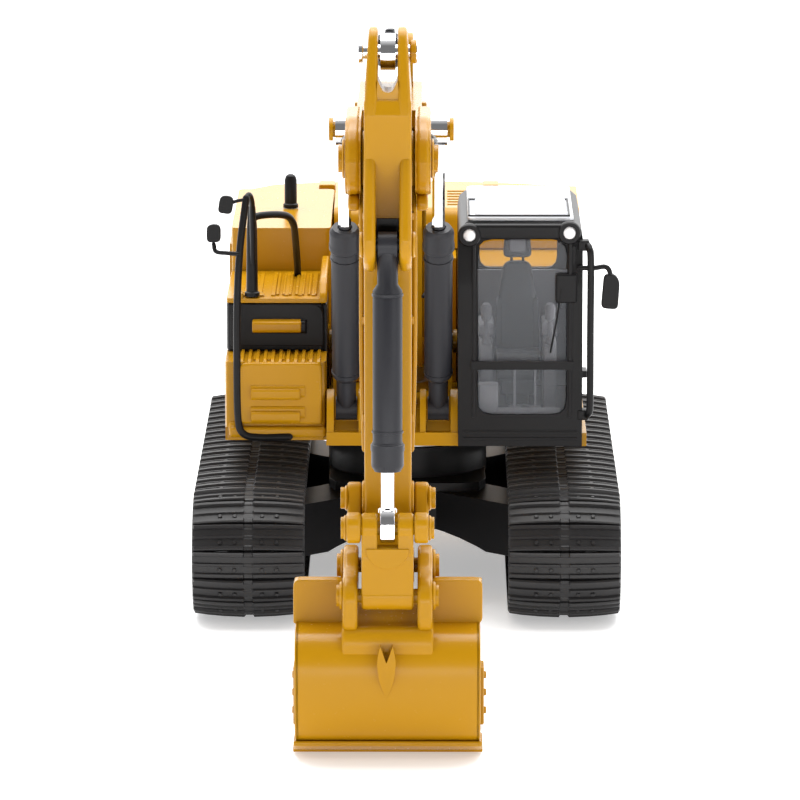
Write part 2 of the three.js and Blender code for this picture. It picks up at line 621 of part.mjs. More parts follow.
function cabFrame() {
  const { x, y, floor, sill, roof, wall } = CAB;
  const side = [[y[0], sill], [y[0] + 2.2, sill], [y[0] + 2.2, floor], [y[1], floor], [y[1], roof, 5],
    [y[0] + 3, roof, 6], [y[0], roof - 22, 2]];
  const inside = block([x[0] + wall, x[1] - wall], [y[0] + wall, y[1] - wall], [floor + wall, roof - wall]);
  const openings = [
    alongY(rectangle(WINDOW.x, WINDOW.z), y[0] - 5, y[0] + 10, 5),
    alongY(rectangle([25, 52], [104, 124]), y[1] - 5, y[1] + 5, 4),
    alongX(rectangle([-60, 0], [80, 125]), x[0] - 5, x[0] + 5, 5),
    alongX(rectangle(WINDOW.door, WINDOW.doorZ), x[1] - 5, x[1] + 5, 4),
    alongX(rectangle([-4, 3], [92, 124]), x[1] - 5, x[1] + 5, 2),
    alongZ(rectangle(HATCH.x, HATCH.y), roof - 10, roof + 5, 3),
  ];
  const crossBar = block(grown(WINDOW.x, 2), [y[0] - 1.2, y[0] + 0.2], [82, 84.8]);
  const front = alongY([[x[0], sill], [x[1], sill], [x[1], roof, 6], [x[0], roof, 6]], y[0] - 1, y[1] + 1);
  return join(cut(alongX(side, ...x).intersect(front), inside, ...openings), crossBar);
}

const pane = ([a0, a1], [b0, b1]) => rectangle([a0 + GAP, a1 - GAP], [b0 + GAP, b1 - GAP]);
const WINDSHIELD_Y = [CAB.y[0] + 0.6, CAB.y[0] + 1.6];

function cabDoor() {
  const x = [CAB.x[1] - 1.8, CAB.x[1] + 0.2];
  const leaf = alongX(pane(WINDOW.door, WINDOW.doorZ), ...x, 3.7);
  const window = alongX(rectangle([-55, -14], [84, 121]), x[0] - 2, x[1] + 2, 4);
  const handle = block([x[1] - 0.4, x[1] + 1.6], [-57.5, -50], [77, 79.4]);
  return cut(join(leaf, handle), window);
}

function operatorSeat() {
  const side = [[-38, 66.5], [-14, 66.5], [-10, 84], [-8.5, 108], [-12.5, 109], [-16, 86, 2], [-38.5, 82, 3]];
  const cushion = alongX(side, 30, 45.4, 1.5);
  const neck = block([35.5, 39.9], [-11.8, -9.6], [106, 115]);
  const headrest = alongX(rectangle([-13.8, -8.8], [112, 121]), 33, 42.4, 1.6);
  return join(cushion, neck, headrest);
}

function operatorConsole() {
  const base = block([24, 51.6], [-42, -6], [CAB.floor + CAB.wall + GAP, 65.8]);
  const solids = [base];
  for (const x of [[24, 29.2], [46.4, 51.6]]) {
    const middle = (x[0] + x[1]) / 2;
    solids.push(block(x, [-38, -10], [65, 85]));
    solids.push(bar(new THREE.Vector3(middle, -35, 84), new THREE.Vector3(middle, -37.5, 93), 0.9, 8));
    solids.push(bar(new THREE.Vector3(middle, -37.3, 92), new THREE.Vector3(middle, -38.4, 96), 1.7, 10));
  }
  return join(...solids);
}

function workLight(x) {
  const face = new THREE.Vector3(x, CAB.y[0] - GAP + 2.2, 126.6);
  const profile = [[0, 0], [0, 2.4], [3, 3.7], [5.6, 3.7], [5.6, 2.9], [5, 2.7], [5, 0]];
  return turned(profile, face, face.clone().add(new THREE.Vector3(0, -1, 0)), 18);
}

function cabGrabRail() {
  const y = CAB.y[0] - 2;
  const rail = tube([[60.7, y + 4, 124.6], [61.2, y, 122], [61.3, y, 110], [61.3, y, 80], [61.2, y, 68],
    [60.7, y + 4, 65.4]], 1.15, 18);
  const arm = tube([[61, y, 117.6], [64, y, 118], [67, y, 117.4], [68.4, y, 113]], 0.8, 10);
  const mirror = alongY(rectangle([65.3, 71.6], [103.3, 115.4]), y - 1.6, y + 1.4, 1.6, 2);
  return join(rail, arm, mirror);
}

place(cab, 'cab_frame', cabFrame(), BLACK);
place(cab, 'windshield', alongY(pane(WINDOW.x, WINDOW.z), ...WINDSHIELD_Y, 4.7), GLASS);
place(cab, 'roof_hatch', alongZ(pane(HATCH.x, HATCH.y), CAB.roof - 1.6, CAB.roof + 0.6, 2.7), GLASS);
place(cab, 'cab_door', cabDoor(), BLACK, [CAB.x[1], WINDOW.door[1], WINDOW.doorZ[0]]);
place(cab, 'operator_seat', operatorSeat(), SEAT_GREY);
place(cab, 'operator_console', operatorConsole(), TRIM_GREY);
place(cab, 'cab_grab_rail', cabGrabRail(), BLACK);

// ---------------------------------------------------------------- hydraulic cylinders
// Distances along a cylinder's axis are measured from the pivot at its base.
function barrel(x, base, end, { radius, length, bore, boreStart, eyeRadius, eyeHalf }) {
  const from = point(x, base);
  const to = point(x, end);
  const r = radius;
  const body = turned([[1, 0], [1, r * 0.7], [12, r * 0.7], [14, r], [length - 9, r], [length - 8.6, r + 0.3],
    [length - 1.5, r + 0.3], [length, r - 0.6], [length, 0]], from, to, 14);
  const eye = pinX(base, x - eyeHalf, x + eyeHalf, eyeRadius, 12);
  const direction = new THREE.Vector3().subVectors(to, from).normalize();
  const hole = bar(from.clone().addScaledVector(direction, boreStart),
    from.clone().addScaledVector(direction, length + 5), bore, 10);
  return cut(join(body, eye), hole);
}

function pistonRod(x, base, end, { radius, start, eyeRadius, eyeHalf, pinRadius }) {
  const from = point(x, base);
  const to = point(x, end);
  const direction = new THREE.Vector3().subVectors(to, from).normalize();
  const shank = bar(from.clone().addScaledVector(direction, start),
    to.clone().addScaledVector(direction, -eyeRadius * 0.6), radius, 10);
  const eye = pinX(end, x - eyeHalf, x + eyeHalf, eyeRadius, 14);
  return cut(join(shank, eye), pinX(end, x - eyeHalf - 1, x + eyeHalf + 1, pinRadius + GAP));
}

// A pin through a joint, with a wider head at each end.
function jointPin(pivot, half, radius, head = 1.4) {
  const from = point(BOOM_X - half, pivot);
  const length = half * 2;
  const r = radius + 1.2;
  return turned([[0, 0], [0, r], [head, r], [head, radius], [length - head, radius], [length - head, r],
    [length, r], [length, 0]], from, point(BOOM_X + half, pivot), 12);
}

const PIN = { foot: 3, rod: 2.6, nose: 3, tail: 2.2, bucketBase: 2.2, idler: 2.2, link: 2.2, bucket: 2.4 };
const hole = (pivot, radius) => pinX(pivot, BOOM_X - 40, BOOM_X + 40, radius + GAP);

const attachment = newGroup(upper);

const LIFT = { radius: 4.85, length: 73, bore: 2.6, boreStart: 15, eyeRadius: 4.1, eyeHalf: 3.6 };
const LIFT_ROD = { radius: 2.2, start: 34, eyeRadius: 5.3, eyeHalf: 2.8, pinRadius: PIN.rod };
for (const [name, side] of SIDES) {
  const x = BOOM_X + side * LIFT_CYLINDER_X;
  place(attachment, `boom_cylinder_barrel_${name}`, barrel(x, BOOM_BASE, BOOM_ROD, LIFT), BARREL_GREY,
    [x, ...BOOM_BASE]);
  place(attachment, `boom_cylinder_rod_${name}`, pistonRod(x, BOOM_BASE, BOOM_ROD, LIFT_ROD), CHROME,
    [x, ...BOOM_ROD]);
}

const CROWD = { radius: 5.2, length: 86, bore: 2.9, boreStart: 15, eyeRadius: 4.4, eyeHalf: 3.4 };
const CROWD_ROD = { radius: 2.5, start: 48, eyeRadius: 5.6, eyeHalf: 2.3, pinRadius: PIN.tail };
place(attachment, 'stick_cylinder_barrel', barrel(BOOM_X, STICK_BASE, STICK_TAIL, CROWD), BARREL_GREY,
  [BOOM_X, ...STICK_BASE]);
place(attachment, 'stick_cylinder_rod', pistonRod(BOOM_X, STICK_BASE, STICK_TAIL, CROWD_ROD), CHROME,
  [BOOM_X, ...STICK_TAIL]);

const CURL = { radius: 4.6, length: 69.1, bore: 2.35, boreStart: 15, eyeRadius: 4, eyeHalf: 2.9 };
const CURL_ROD = { radius: 1.95, start: 36, eyeRadius: 4.2, eyeHalf: 2.3, pinRadius: PIN.link };
place(attachment, 'bucket_cylinder_barrel', barrel(BOOM_X, BUCKET_BASE, LINK_TOP, CURL), BARREL_GREY,
  [BOOM_X, ...BUCKET_BASE]);
place(attachment, 'bucket_cylinder_rod', pistonRod(BOOM_X, BUCKET_BASE, LINK_TOP, CURL_ROD), CHROME,
  [BOOM_X, ...LINK_TOP]);

// ---------------------------------------------------------------- boom, stick, links and bucket
function boom() {
  const side = [[4, 86, 8], [-84, 176, 12], [-106, 186.4, 12], [-140, 187, 10], [-214, 191.4], [-214, 171.4],
    [-118, 158, 14], [-96, 145, 14], [-13, 71.5, 9], [-1, 71, 7], [5, 79, 7]];
  const box = alongX(side, BOOM_X - BOOM_HALF, BOOM_X + BOOM_HALF, 0, 4);
  const footBoss = pinX(FOOT, BOOM_X - 17.2, BOOM_X + 17.2, 8, 22);
  const fork = twin([[-194, 188.6], [-208, 191.6], [-250, 194, 8], [-263.4, 189, 8], [-263.4, 176, 8],
    [-252, 170.4, 8], [-208, 171.6], [-194, 172]], NOSE_PLATE);
  const rodBoss = pinX(BOOM_ROD, BOOM_X - 12.3, BOOM_X + 12.3, 6, 16);
  const bracket = twin([[-102, 182], [-112, 199, 4], [-118, 203.6, 4], [-124, 202.4, 4], [-130, 190, 2], [-130, 184]],
    [4.6, 7.2]);
  return cut(join(box, footBoss, fork, rodBoss, bracket),
    hole(FOOT, PIN.foot), hole(BOOM_ROD, PIN.rod), hole(NOSE, PIN.nose));
}

function stick() {
  const side = [[-263, 224, 6], [-270, 197, 4], [-266.2, 168, 3], [-266.2, 150, 3], [-262.8, 95, 6],
    [-262.4, 77, 6], [-262.2, 52, 5], [-250, 50, 5], [-249.8, 77, 6], [-246.8, 100, 8], [-237.4, 172, 6],
    [-237, 188, 5], [-246.8, 222, 7]];
  const body = alongX(side.reverse(), BOOM_X - STICK_HALF, BOOM_X + STICK_HALF);
  const ears = twin([[-262, 150], [-275, 152.4, 4], [-281, 158, 5], [-279.4, 165, 5], [-269, 182, 4], [-262, 184]]
    .reverse(), [3.5, 7]);
  const slot = alongX([[-275, 204], [-256, 204], [-234, 192], [-230, 226], [-275, 226]], BOOM_X - 2.8, BOOM_X + 2.8);
  const solids = join(body, ears);
  return cut(solids, slot, hole(NOSE, PIN.nose), hole(STICK_TAIL, PIN.tail),
    hole(IDLER, PIN.idler), hole(BUCKET, PIN.bucket));
}

function idlerLink(side) {
  const faces = IDLER_PLATE.map((offset) => BOOM_X + side * offset).sort((a, b) => a - b);
  const link = alongX(strap(LINK_TOP, IDLER, 4.6, 4.8), ...faces, 0, 8);
  return cut(link, hole(IDLER, PIN.idler), hole(LINK_TOP, PIN.link));
}

function powerLink() {
  const half = 7.9;
  const top = pinX(LINK_TOP, BOOM_X - half, BOOM_X + half, 4.5, 18);
  const low = pinX(LINK_LOW, BOOM_X - half, BOOM_X + half, 4.3, 18);
  const [y, z] = LINK_TOP;
  const web = [[y - 3, z - 1], [y - 4.6, z - 6, 2], [y - 4.4, z - 15, 2], [y - 3, LINK_LOW[1]],
    [y + 2.6, LINK_LOW[1]], [y + 2, z - 15, 3], [y + 1.4, z - 6, 2], [y + 2.6, z - 1]];
  const body = join(top, low, alongX(web, BOOM_X - half, BOOM_X + half));
  const notch = block([BOOM_X - 2.7, BOOM_X + 2.7], [y - 8, y + 8], [z - 6.6, z + 8]);
  return cut(body, notch, hole(LINK_TOP, PIN.link), hole(LINK_LOW, PIN.link));
}

function bucket() {
  const half = BUCKET_HALF;
  const inner = half - 0.6;
  const wrap = [[-238, 47], [-262, 43.5], [-278, 42], [-282.4, 39.6], [-285.6, 33], [-286.8, 25], [-285, 15],
    [-280, 7.4], [-272, 3], [-262, 1.6], [-228, 1.4]];
  const span = (shape, half0, corner, segments) => alongX(shape, BOOM_X - half0, BOOM_X + half0, corner, segments);
  const shell = span(bentPlate(wrap, 1.6), inner);
  const cheek = twin(wrap.concat([[-231, 16]]), [inner - 1.6, inner]);
  const torsion = twin([[-268, 43, 2], [-246, 45], [-246, 50], [-257, 51.2], [-261, 54, 2], [-266.4, 54, 3]],
    [EAR_PLATE[0], half]);
  const ears = twin([[-249.7, 46], [-249.6, 57, 5], [-252, 62.4, 5], [-260, 62.4, 5], [-268, 57.8, 3],
    [-281, 57.4, 5], [-285.2, 53, 5], [-284, 41, 3], [-270, 41], [-250, 44]], EAR_PLATE, 0, 4);
  const heel = span([[-282.4, 7.8], [-279, 3.6], [-272, 0.7], [-260, 0.5], [-260, 2], [-271, 3.6], [-279.4, 8.6]],
    half + 0.3);
  const edge = span([[-231, 0.7], [-222, 0.7], [-219, 1.4], [-221, 3.6], [-231, 3.6]], half);
  const solids = [shell, cheek, torsion, ears, heel, edge];
  for (let i = -2; i <= 2; i += 1) {
    const x = BOOM_X + i * 12.2;
    const tooth = [[-227, 0.5], [-209, 0.9], [-209, 1.7], [-217, 4.4], [-227, 4.8]];
    solids.push(alongX(tooth, x - 2.4, x + 2.4));
  }
  const cutter = [[-238, 1.2], [-227, 1.2], [-224, 5], [-226.4, 8], [-225.4, 11], [-228, 14], [-227.4, 18],
    [-240, 19]];
  solids.push(twin(cutter, [inner - 0.5, half + 1.4]));
  const lug = alongX([[-284, 24], [-283, 38], [-287, 37.6, 1], [-289.4, 34], [-289.4, 30]],
    BOOM_X - 2.6, BOOM_X + 2.6);
  const notch = alongY([[-5.9, 40], [-5.9, 35], [-5, 31], [-4.1, 35], [-4.1, 40]].reverse(), -300, -287.3);
  solids.push(lug.subtract(notch));
  return cut(join(...solids), hole(BUCKET, PIN.bucket), hole(LINK_LOW, PIN.link));
}

place(attachment, 'boom', boom(), YELLOW, [BOOM_X, ...FOOT]);
place(attachment, 'stick', stick(), YELLOW, [BOOM_X, ...NOSE]);
for (const [name, side] of SIDES) {
  place(attachment, `idler_link_${name}`, idlerLink(side), YELLOW, [BOOM_X, ...IDLER]);
}
place(attachment, 'power_link', powerLink(), YELLOW, [BOOM_X, ...LINK_TOP]);
place(attachment, 'bucket', bucket(), YELLOW, [BOOM_X, ...BUCKET]);

const PINS = [
  ['pin_boom_foot', FOOT, 22.2, PIN.foot], ['pin_boom_rods', BOOM_ROD, 20.6, PIN.rod],
  ['pin_stick_pivot', NOSE, 15.2, PIN.nose], ['pin_stick_rod', STICK_TAIL, 9, PIN.tail],
  ['pin_idler_links', IDLER, 14.6, PIN.idler], ['pin_link_top', LINK_TOP, 14.2, PIN.link],
  ['pin_link_low', LINK_LOW, 15.6, PIN.link], ['pin_bucket', BUCKET, 15.8, PIN.bucket],
];
for (const [name, pivot, half, radius] of PINS) {
  place(attachment, name, jointPin(pivot, half, radius), name === 'pin_stick_rod' ? CHROME : YELLOW,
    [BOOM_X, ...pivot]);
}

// The work lights sit on the cab's front corners.
for (const [name, x] of [['right', 21.9], ['left', 54.8]]) {
  place(cab, `work_light_${name}`, workLight(x), LENS);
}

export default machine;
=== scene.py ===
"""Looks of a model tracked excavator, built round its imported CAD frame."""
import json
import math

import bmesh
import bpy
from mathutils import Matrix, Vector


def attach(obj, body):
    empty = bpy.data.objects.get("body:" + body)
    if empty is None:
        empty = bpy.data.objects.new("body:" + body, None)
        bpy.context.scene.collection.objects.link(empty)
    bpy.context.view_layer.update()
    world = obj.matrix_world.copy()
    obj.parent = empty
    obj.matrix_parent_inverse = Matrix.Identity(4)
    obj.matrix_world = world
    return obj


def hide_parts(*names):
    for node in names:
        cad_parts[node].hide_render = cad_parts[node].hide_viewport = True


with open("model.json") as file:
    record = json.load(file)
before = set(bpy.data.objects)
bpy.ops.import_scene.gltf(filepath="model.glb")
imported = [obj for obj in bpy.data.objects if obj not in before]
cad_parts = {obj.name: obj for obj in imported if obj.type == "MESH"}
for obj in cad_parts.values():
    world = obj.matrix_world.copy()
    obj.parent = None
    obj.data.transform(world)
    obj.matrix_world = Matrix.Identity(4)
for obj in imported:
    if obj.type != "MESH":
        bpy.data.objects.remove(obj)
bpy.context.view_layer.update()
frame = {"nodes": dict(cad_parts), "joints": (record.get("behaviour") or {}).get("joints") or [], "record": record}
nodes = frame["nodes"]

MM = 0.001
joints = {j["name"]: j for j in frame["joints"]}
SLEW_Y = joints["slew"]["pos_m"][1] / MM          # machine Y 0 is the slew axis


# ---------------------------------------------------------------- materials
def material(name, color, rough, metal=0.0, vary=0.05, grain=0.02, size=900, coat=0.0, spec=0.5,
             spread=0.06):
    """Principled surface whose colour and roughness wander a little and whose skin has a fine texture."""
    m = bpy.data.materials.new(name)
    m.use_nodes = True
    n, link = m.node_tree.nodes, m.node_tree.links.new
    s = n["Principled BSDF"]
    s.inputs["Metallic"].default_value = metal
    s.inputs["Specular IOR Level"].default_value = spec
    s.inputs["Coat Weight"].default_value = coat
    s.inputs["Coat Roughness"].default_value = 0.12
    where = n.new("ShaderNodeTexCoord")
    cloud = n.new("ShaderNodeTexNoise")
    cloud.inputs["Scale"].default_value = 60
    cloud.inputs["Detail"].default_value = 4
    link(where.outputs["Object"], cloud.inputs["Vector"])
    tint = n.new("ShaderNodeMix")
    tint.data_type = "RGBA"
    tint.inputs["A"].default_value = [c * (1 - vary) for c in color] + [1]
    tint.inputs["B"].default_value = [min(1, c * (1 + vary)) for c in color] + [1]
    link(cloud.outputs["Fac"], tint.inputs["Factor"])
    link(tint.outputs["Result"], s.inputs["Base Color"])
    fine = n.new("ShaderNodeTexNoise")
    fine.inputs["Scale"].default_value = size
    fine.inputs["Detail"].default_value = 3
    link(where.outputs["Object"], fine.inputs["Vector"])
    gloss = n.new("ShaderNodeMapRange")
    gloss.inputs["To Min"].default_value = rough - spread
    gloss.inputs["To Max"].default_value = rough + spread
    link(fine.outputs["Fac"], gloss.inputs["Value"])
    link(gloss.outputs["Result"], s.inputs["Roughness"])
    bump = n.new("ShaderNodeBump")
    bump.inputs["Strength"].default_value = grain * 10
    bump.inputs["Distance"].default_value = 0.00004
    link(fine.outputs["Fac"], bump.inputs["Height"])
    link(bump.outputs["Normal"], s.inputs["Normal"])
    return m


def clear_pane(name, color, alpha, rough):
    m = bpy.data.materials.new(name)
    m.use_nodes = True
    s = m.node_tree.nodes["Principled BSDF"]
    s.inputs["Base Color"].default_value = (*color, 1)
    s.inputs["Roughness"].default_value = rough
    s.inputs["Alpha"].default_value = alpha
    s.inputs["IOR"].default_value = 1.49
    n, link = m.node_tree.nodes, m.node_tree.links.new
    where = n.new("ShaderNodeTexCoord")
    waves = n.new("ShaderNodeTexNoise")
    waves.inputs["Scale"].default_value = 45
    bump = n.new("ShaderNodeBump")
    bump.inputs["Strength"].default_value = 0.25
    bump.inputs["Distance"].default_value = 0.0003
    link(where.outputs["Object"], waves.inputs["Vector"])
    link(waves.outputs["Fac"], bump.inputs["Height"])
    link(bump.outputs["Normal"], s.inputs["Normal"])
    return m


YELLOW = material("yellow_enamel", (0.41, 0.199, 0.003), 0.25, vary=0.02, grain=0.002, size=900, coat=0.05,
                  spec=0.18)
BLACK = material("black_moulding", (0.0075, 0.0072, 0.0078), 0.36, vary=0.2, grain=0.03, size=2600,
                 spec=0.16)
TRACK = material("track_moulding", (0.013, 0.0122, 0.0128), 0.46, vary=0.25, grain=0.05, size=2200,
                 spread=0.1, spec=0.4)
GREY = material("barrel_lacquer", (0.021, 0.021, 0.025), 0.38, vary=0.1, grain=0.03, size=2000, spec=0.24)
CHROME = material("chrome_plate", (0.86, 0.86, 0.88), 0.07, metal=1.0, vary=0.02, grain=0.004, size=500,
                  spread=0.02)
STEEL = material("turned_steel", (0.4, 0.4, 0.41), 0.3, metal=1.0, vary=0.08, grain=0.05, size=2500)
BRASS = material("cut_brass", (0.6, 0.42, 0.16), 0.28, metal=1.0, vary=0.08, grain=0.04)
WRAP = material("battery_film", (0.02, 0.05, 0.16), 0.25, vary=0.1, coat=0.5)
BOARD = material("board_lacquer", (0.012, 0.08, 0.025), 0.35, vary=0.2)
RED = material("switch_red", (0.35, 0.015, 0.01), 0.35)
SEAT = material("seat_grain", (0.03, 0.03, 0.035), 0.62, vary=0.2, grain=0.12, size=3500)
TRIM = material("trim_grain", (0.13, 0.13, 0.145), 0.55, vary=0.12, grain=0.1, size=3000)
LAMP = material("lamp_lens", (0.92, 0.92, 0.93), 0.12, vary=0.01, grain=0.01, coat=0.6)
GLASS = clear_pane("clear_pane", (0.3, 0.32, 0.35), 0.12, 0.05)
HATCH_GLASS = clear_pane("hatch_pane", (0.9, 0.92, 0.96), 0.5, 0.08)
BY_SLOT = {"yellow_paint": YELLOW, "black_satin": BLACK, "track_black": TRACK, "barrel_grey": GREY,
           "chrome": CHROME, "gear_steel": STEEL, "brass_gear": BRASS, "motor_can": STEEL,
           "battery_wrap": WRAP, "circuit_board": BOARD, "switch_knob": RED, "clear_pane": GLASS,
           "seat_grey": SEAT, "trim_grey": TRIM, "lamp_white": LAMP}


# ---------------------------------------------------------------- soft edges on the CAD pieces
def shading_group(limit):
    """Geometry nodes that smooth the faces and keep edges sharper than the limit."""
    g = bpy.data.node_groups.new("shade_by_angle", "GeometryNodeTree")
    g.interface.new_socket("Geometry", in_out="INPUT", socket_type="NodeSocketGeometry")
    g.interface.new_socket("Geometry", in_out="OUTPUT", socket_type="NodeSocketGeometry")
    n, link = g.nodes, g.links.new
    start, end = n.new("NodeGroupInput"), n.new("NodeGroupOutput")
    faces, edges = n.new("GeometryNodeSetShadeSmooth"), n.new("GeometryNodeSetShadeSmooth")
    edges.domain = "EDGE"
    angle = n.new("GeometryNodeInputMeshEdgeAngle")
    keep = n.new("FunctionNodeCompare")
    keep.operation = "LESS_THAN"
    keep.inputs["B"].default_value = limit
    link(angle.outputs["Unsigned Angle"], keep.inputs["A"])
    link(start.outputs[0], faces.inputs["Geometry"])
    link(faces.outputs[0], edges.inputs["Geometry"])
    link(keep.outputs[0], edges.inputs["Shade Smooth"])
    link(edges.outputs[0], end.inputs[0])
    return g


def bare_group():
    """Geometry nodes that drop the imported normals and join the split corners."""
    g = bpy.data.node_groups.new("joined_corners", "GeometryNodeTree")
    g.interface.new_socket("Geometry", in_out="INPUT", socket_type="NodeSocketGeometry")
    g.interface.new_socket("Geometry", in_out="OUTPUT", socket_type="NodeSocketGeometry")
    n, link = g.nodes, g.links.new
    start, end = n.new("NodeGroupInput"), n.new("NodeGroupOutput")
    names = []
    for name in ("custom_normal", "sharp_edge", "sharp_face"):
        drop = n.new("GeometryNodeRemoveAttribute")
        drop.inputs["Name"].default_value = name
        names.append(drop)
    merge = n.new("GeometryNodeMergeByDistance")
    merge.inputs["Distance"].default_value = 0.002 * MM
    last = start.outputs[0]
    for node in names + [merge]:
        link(last, node.inputs[0])
        last = node.outputs[0]
    link(last, end.inputs[0])
    return g


SHADING, JOINED = shading_group(math.radians(34)), bare_group()


def soften(name, width, segments=2):
    """Rounds the edges of a CAD node by width millimetres; its own mesh stays as packed."""
    o = nodes[name]
    o.modifiers.new("join", "NODES").node_group = JOINED
    if width:
        flat = o.modifiers.new("flat", "DECIMATE")
        flat.decimate_type = "DISSOLVE"
        flat.angle_limit = math.radians(1.2)
        edge = o.modifiers.new("edge", "BEVEL")
        edge.width = width * MM
        edge.segments = segments
        edge.angle_limit = math.radians(36)
        edge.harden_normals = False
    o.modifiers.new("shade", "NODES").node_group = SHADING
    if width:
        weigh = o.modifiers.new("weigh", "WEIGHTED_NORMAL")
        weigh.keep_sharp = True
        weigh.weight = 60


slot_of = {s["node"]: s["material_slot"] for s in frame["record"]["subparts"]}
EDGE = {"boom": 0.7, "stick": 0.8, "bucket": 0.45, "power_link": 0.5, "idler_link_right": 0.7,
        "idler_link_left": 0.7, "revolving_frame": 0.5, "counterweight": 0.6, "step_box": 0.5,
        "fuel_tank": 0.6, "tank_top_tread": 0.3, "right_housing": 0.7, "left_housing": 0.4,
        "battery_bay": 0.3, "engine_hood": 0.6, "cab_frame": 0.6, "cab_door": 0.3,
        "undercarriage_frame": 0.5, "track_frame_right": 0.4, "track_frame_left": 0.4, "operator_seat": 0.5,
        "operator_console": 0.4, "battery_pack": 0.6, "control_board": 0.15}
for name, node in nodes.items():
    node.data.materials.clear()
    node.data.materials.append(BY_SLOT[slot_of[name]])
    soften(name, EDGE.get(name, 0.2 if name.startswith("pin_") else 0))
nodes["roof_hatch"].data.materials[0] = HATCH_GLASS


# ---------------------------------------------------------------- mesh tools, in machine millimetres
FRAME_OF_MACHINE = Matrix.Translation((0, SLEW_Y * MM, 0)) @ Matrix.Scale(MM, 4)
PLANES = {"X": lambda a, b, t: (t, a, b), "Y": lambda a, b, t: (a, t, b), "Z": lambda a, b, t: (a, b, t)}


def rounded(points, per=4):
    """An outline of [a, b, radius] points with its corners rounded."""
    out = []
    for i, p in enumerate(points):
        radius = p[2] if len(p) > 2 else 0
        here = Vector(p[:2])
        before, after = Vector(points[i - 1][:2]) - here, Vector(points[(i + 1) % len(points)][:2]) - here
        reach = min(radius, before.length * 0.49, after.length * 0.49)
        if reach < 1e-6:
            out.append(here)
            continue
        a, b = here + before.normalized() * reach, here + after.normalized() * reach
        for k in range(per + 1):
            t = k / per
            out.append(a * (1 - t) ** 2 + here * 2 * t * (1 - t) + b * t * t)
    return out


def merge_into(bm, part):
    mesh = bpy.data.meshes.new("part")
    part.to_mesh(mesh)
    part.free()
    bm.from_mesh(mesh)
    bpy.data.meshes.remove(mesh)


def skin(bm, rings):
    """A closed body through equal rings of points, with flat ends."""
    part = bmesh.new()
    rows = [[part.verts.new(p) for p in ring] for ring in rings]
    count = len(rows[0])
    for a, b in zip(rows, rows[1:]):
        for i in range(count):
            part.faces.new((a[i], a[(i + 1) % count], b[(i + 1) % count], b[i]))
    part.faces.new(rows[0][::-1])
    part.faces.new(rows[-1])
    bmesh.ops.recalc_face_normals(part, faces=part.faces)
    merge_into(bm, part)


def prism(bm, axis, outline, t0, t1, soft=0.3, segments=2, warp=None):
    """An outline of [a, b, radius] points swept along an axis with soft edges, then bent by warp(point)."""
    part = bmesh.new()
    place, flat = PLANES[axis], rounded(outline)
    rows = [[part.verts.new(place(p[0], p[1], t)) for p in flat] for t in (t0, t1)]
    count = len(flat)
    for i in range(count):
        part.faces.new((rows[0][i], rows[0][(i + 1) % count], rows[1][(i + 1) % count], rows[1][i]))
    part.faces.new(rows[0][::-1])
    part.faces.new(rows[1])
    bmesh.ops.recalc_face_normals(part, faces=part.faces)
    if soft:
        sharp = [e for e in part.edges if e.calc_face_angle(0) > math.radians(32)]
        bmesh.ops.bevel(part, geom=sharp, offset=soft, segments=segments, profile=0.5, affect="EDGES",
                        clamp_overlap=True)
    if warp:
        for v in part.verts:
            v.co = warp(v.co)
    merge_into(bm, part)


def block(bm, x, y, z, soft=0.3, segments=2):
    prism(bm, "X", [[y[0], z[0]], [y[1], z[0]], [y[1], z[1]], [y[0], z[1]]], x[0], x[1], soft, segments)


def lathe(bm, profile, start, direction, sides=24):
    """A turned body: [distance along the axis, radius] pairs from one end to the other."""
    axis = Vector(direction).normalized()
    side = axis.orthogonal().normalized()
    other = axis.cross(side)
    rings = []
    for along, radius in profile:
        centre = Vector(start) + axis * along
        rings.append([centre + (side * math.cos(a) + other * math.sin(a)) * max(radius, 0.01)
                      for a in (2 * math.pi * k / sides for k in range(sides))])
    skin(bm, rings)


def curve_through(points, per=6):
    """Points on a smooth curve through the given ones."""
    p = [Vector(q) for q in points]
    p = [2 * p[0] - p[1]] + p + [2 * p[-1] - p[-2]]
    out = []
    for i in range(1, len(p) - 2):
        for k in range(per):
            t = k / per
            a, b, c, d = p[i - 1:i + 3]
            out.append(0.5 * (2 * b + (c - a) * t + (2 * a - 5 * b + 4 * c - d) * t * t
                              + (3 * b - a - 3 * c + d) * t ** 3))
    return out + [p[-2]]


def tube(bm, points, radius, sides=14, per=6):
    """A round bar along a smooth curve, with rounded ends."""
    path = curve_through(points, per)
    side = (path[1] - path[0]).orthogonal().normalized()
    rings = []
    for i, centre in enumerate(path):
        axis = (path[min(i + 1, len(path) - 1)] - path[max(i - 1, 0)]).normalized()
        side = (side - axis * side.dot(axis)).normalized()
        other = axis.cross(side)
        steps = [(0, 1)]
        if i == 0:
            steps = [(-radius, 0.3), (-radius * 0.6, 0.8), (0, 1)]
        if i == len(path) - 1:
            steps = [(0, 1), (radius * 0.6, 0.8), (radius, 0.3)]
        for shift, share in steps:
            turn = (2 * math.pi * k / sides for k in range(sides))
            rings.append([centre + axis * shift + (side * math.cos(a) + other * math.sin(a)) * radius * share
                          for a in turn])
    skin(bm, rings)


def bolt(bm, centre, direction, radius, height=0.6):
    lathe(bm, [(0, radius), (height * 0.7, radius), (height, radius * 0.8)], centre, direction, 6)


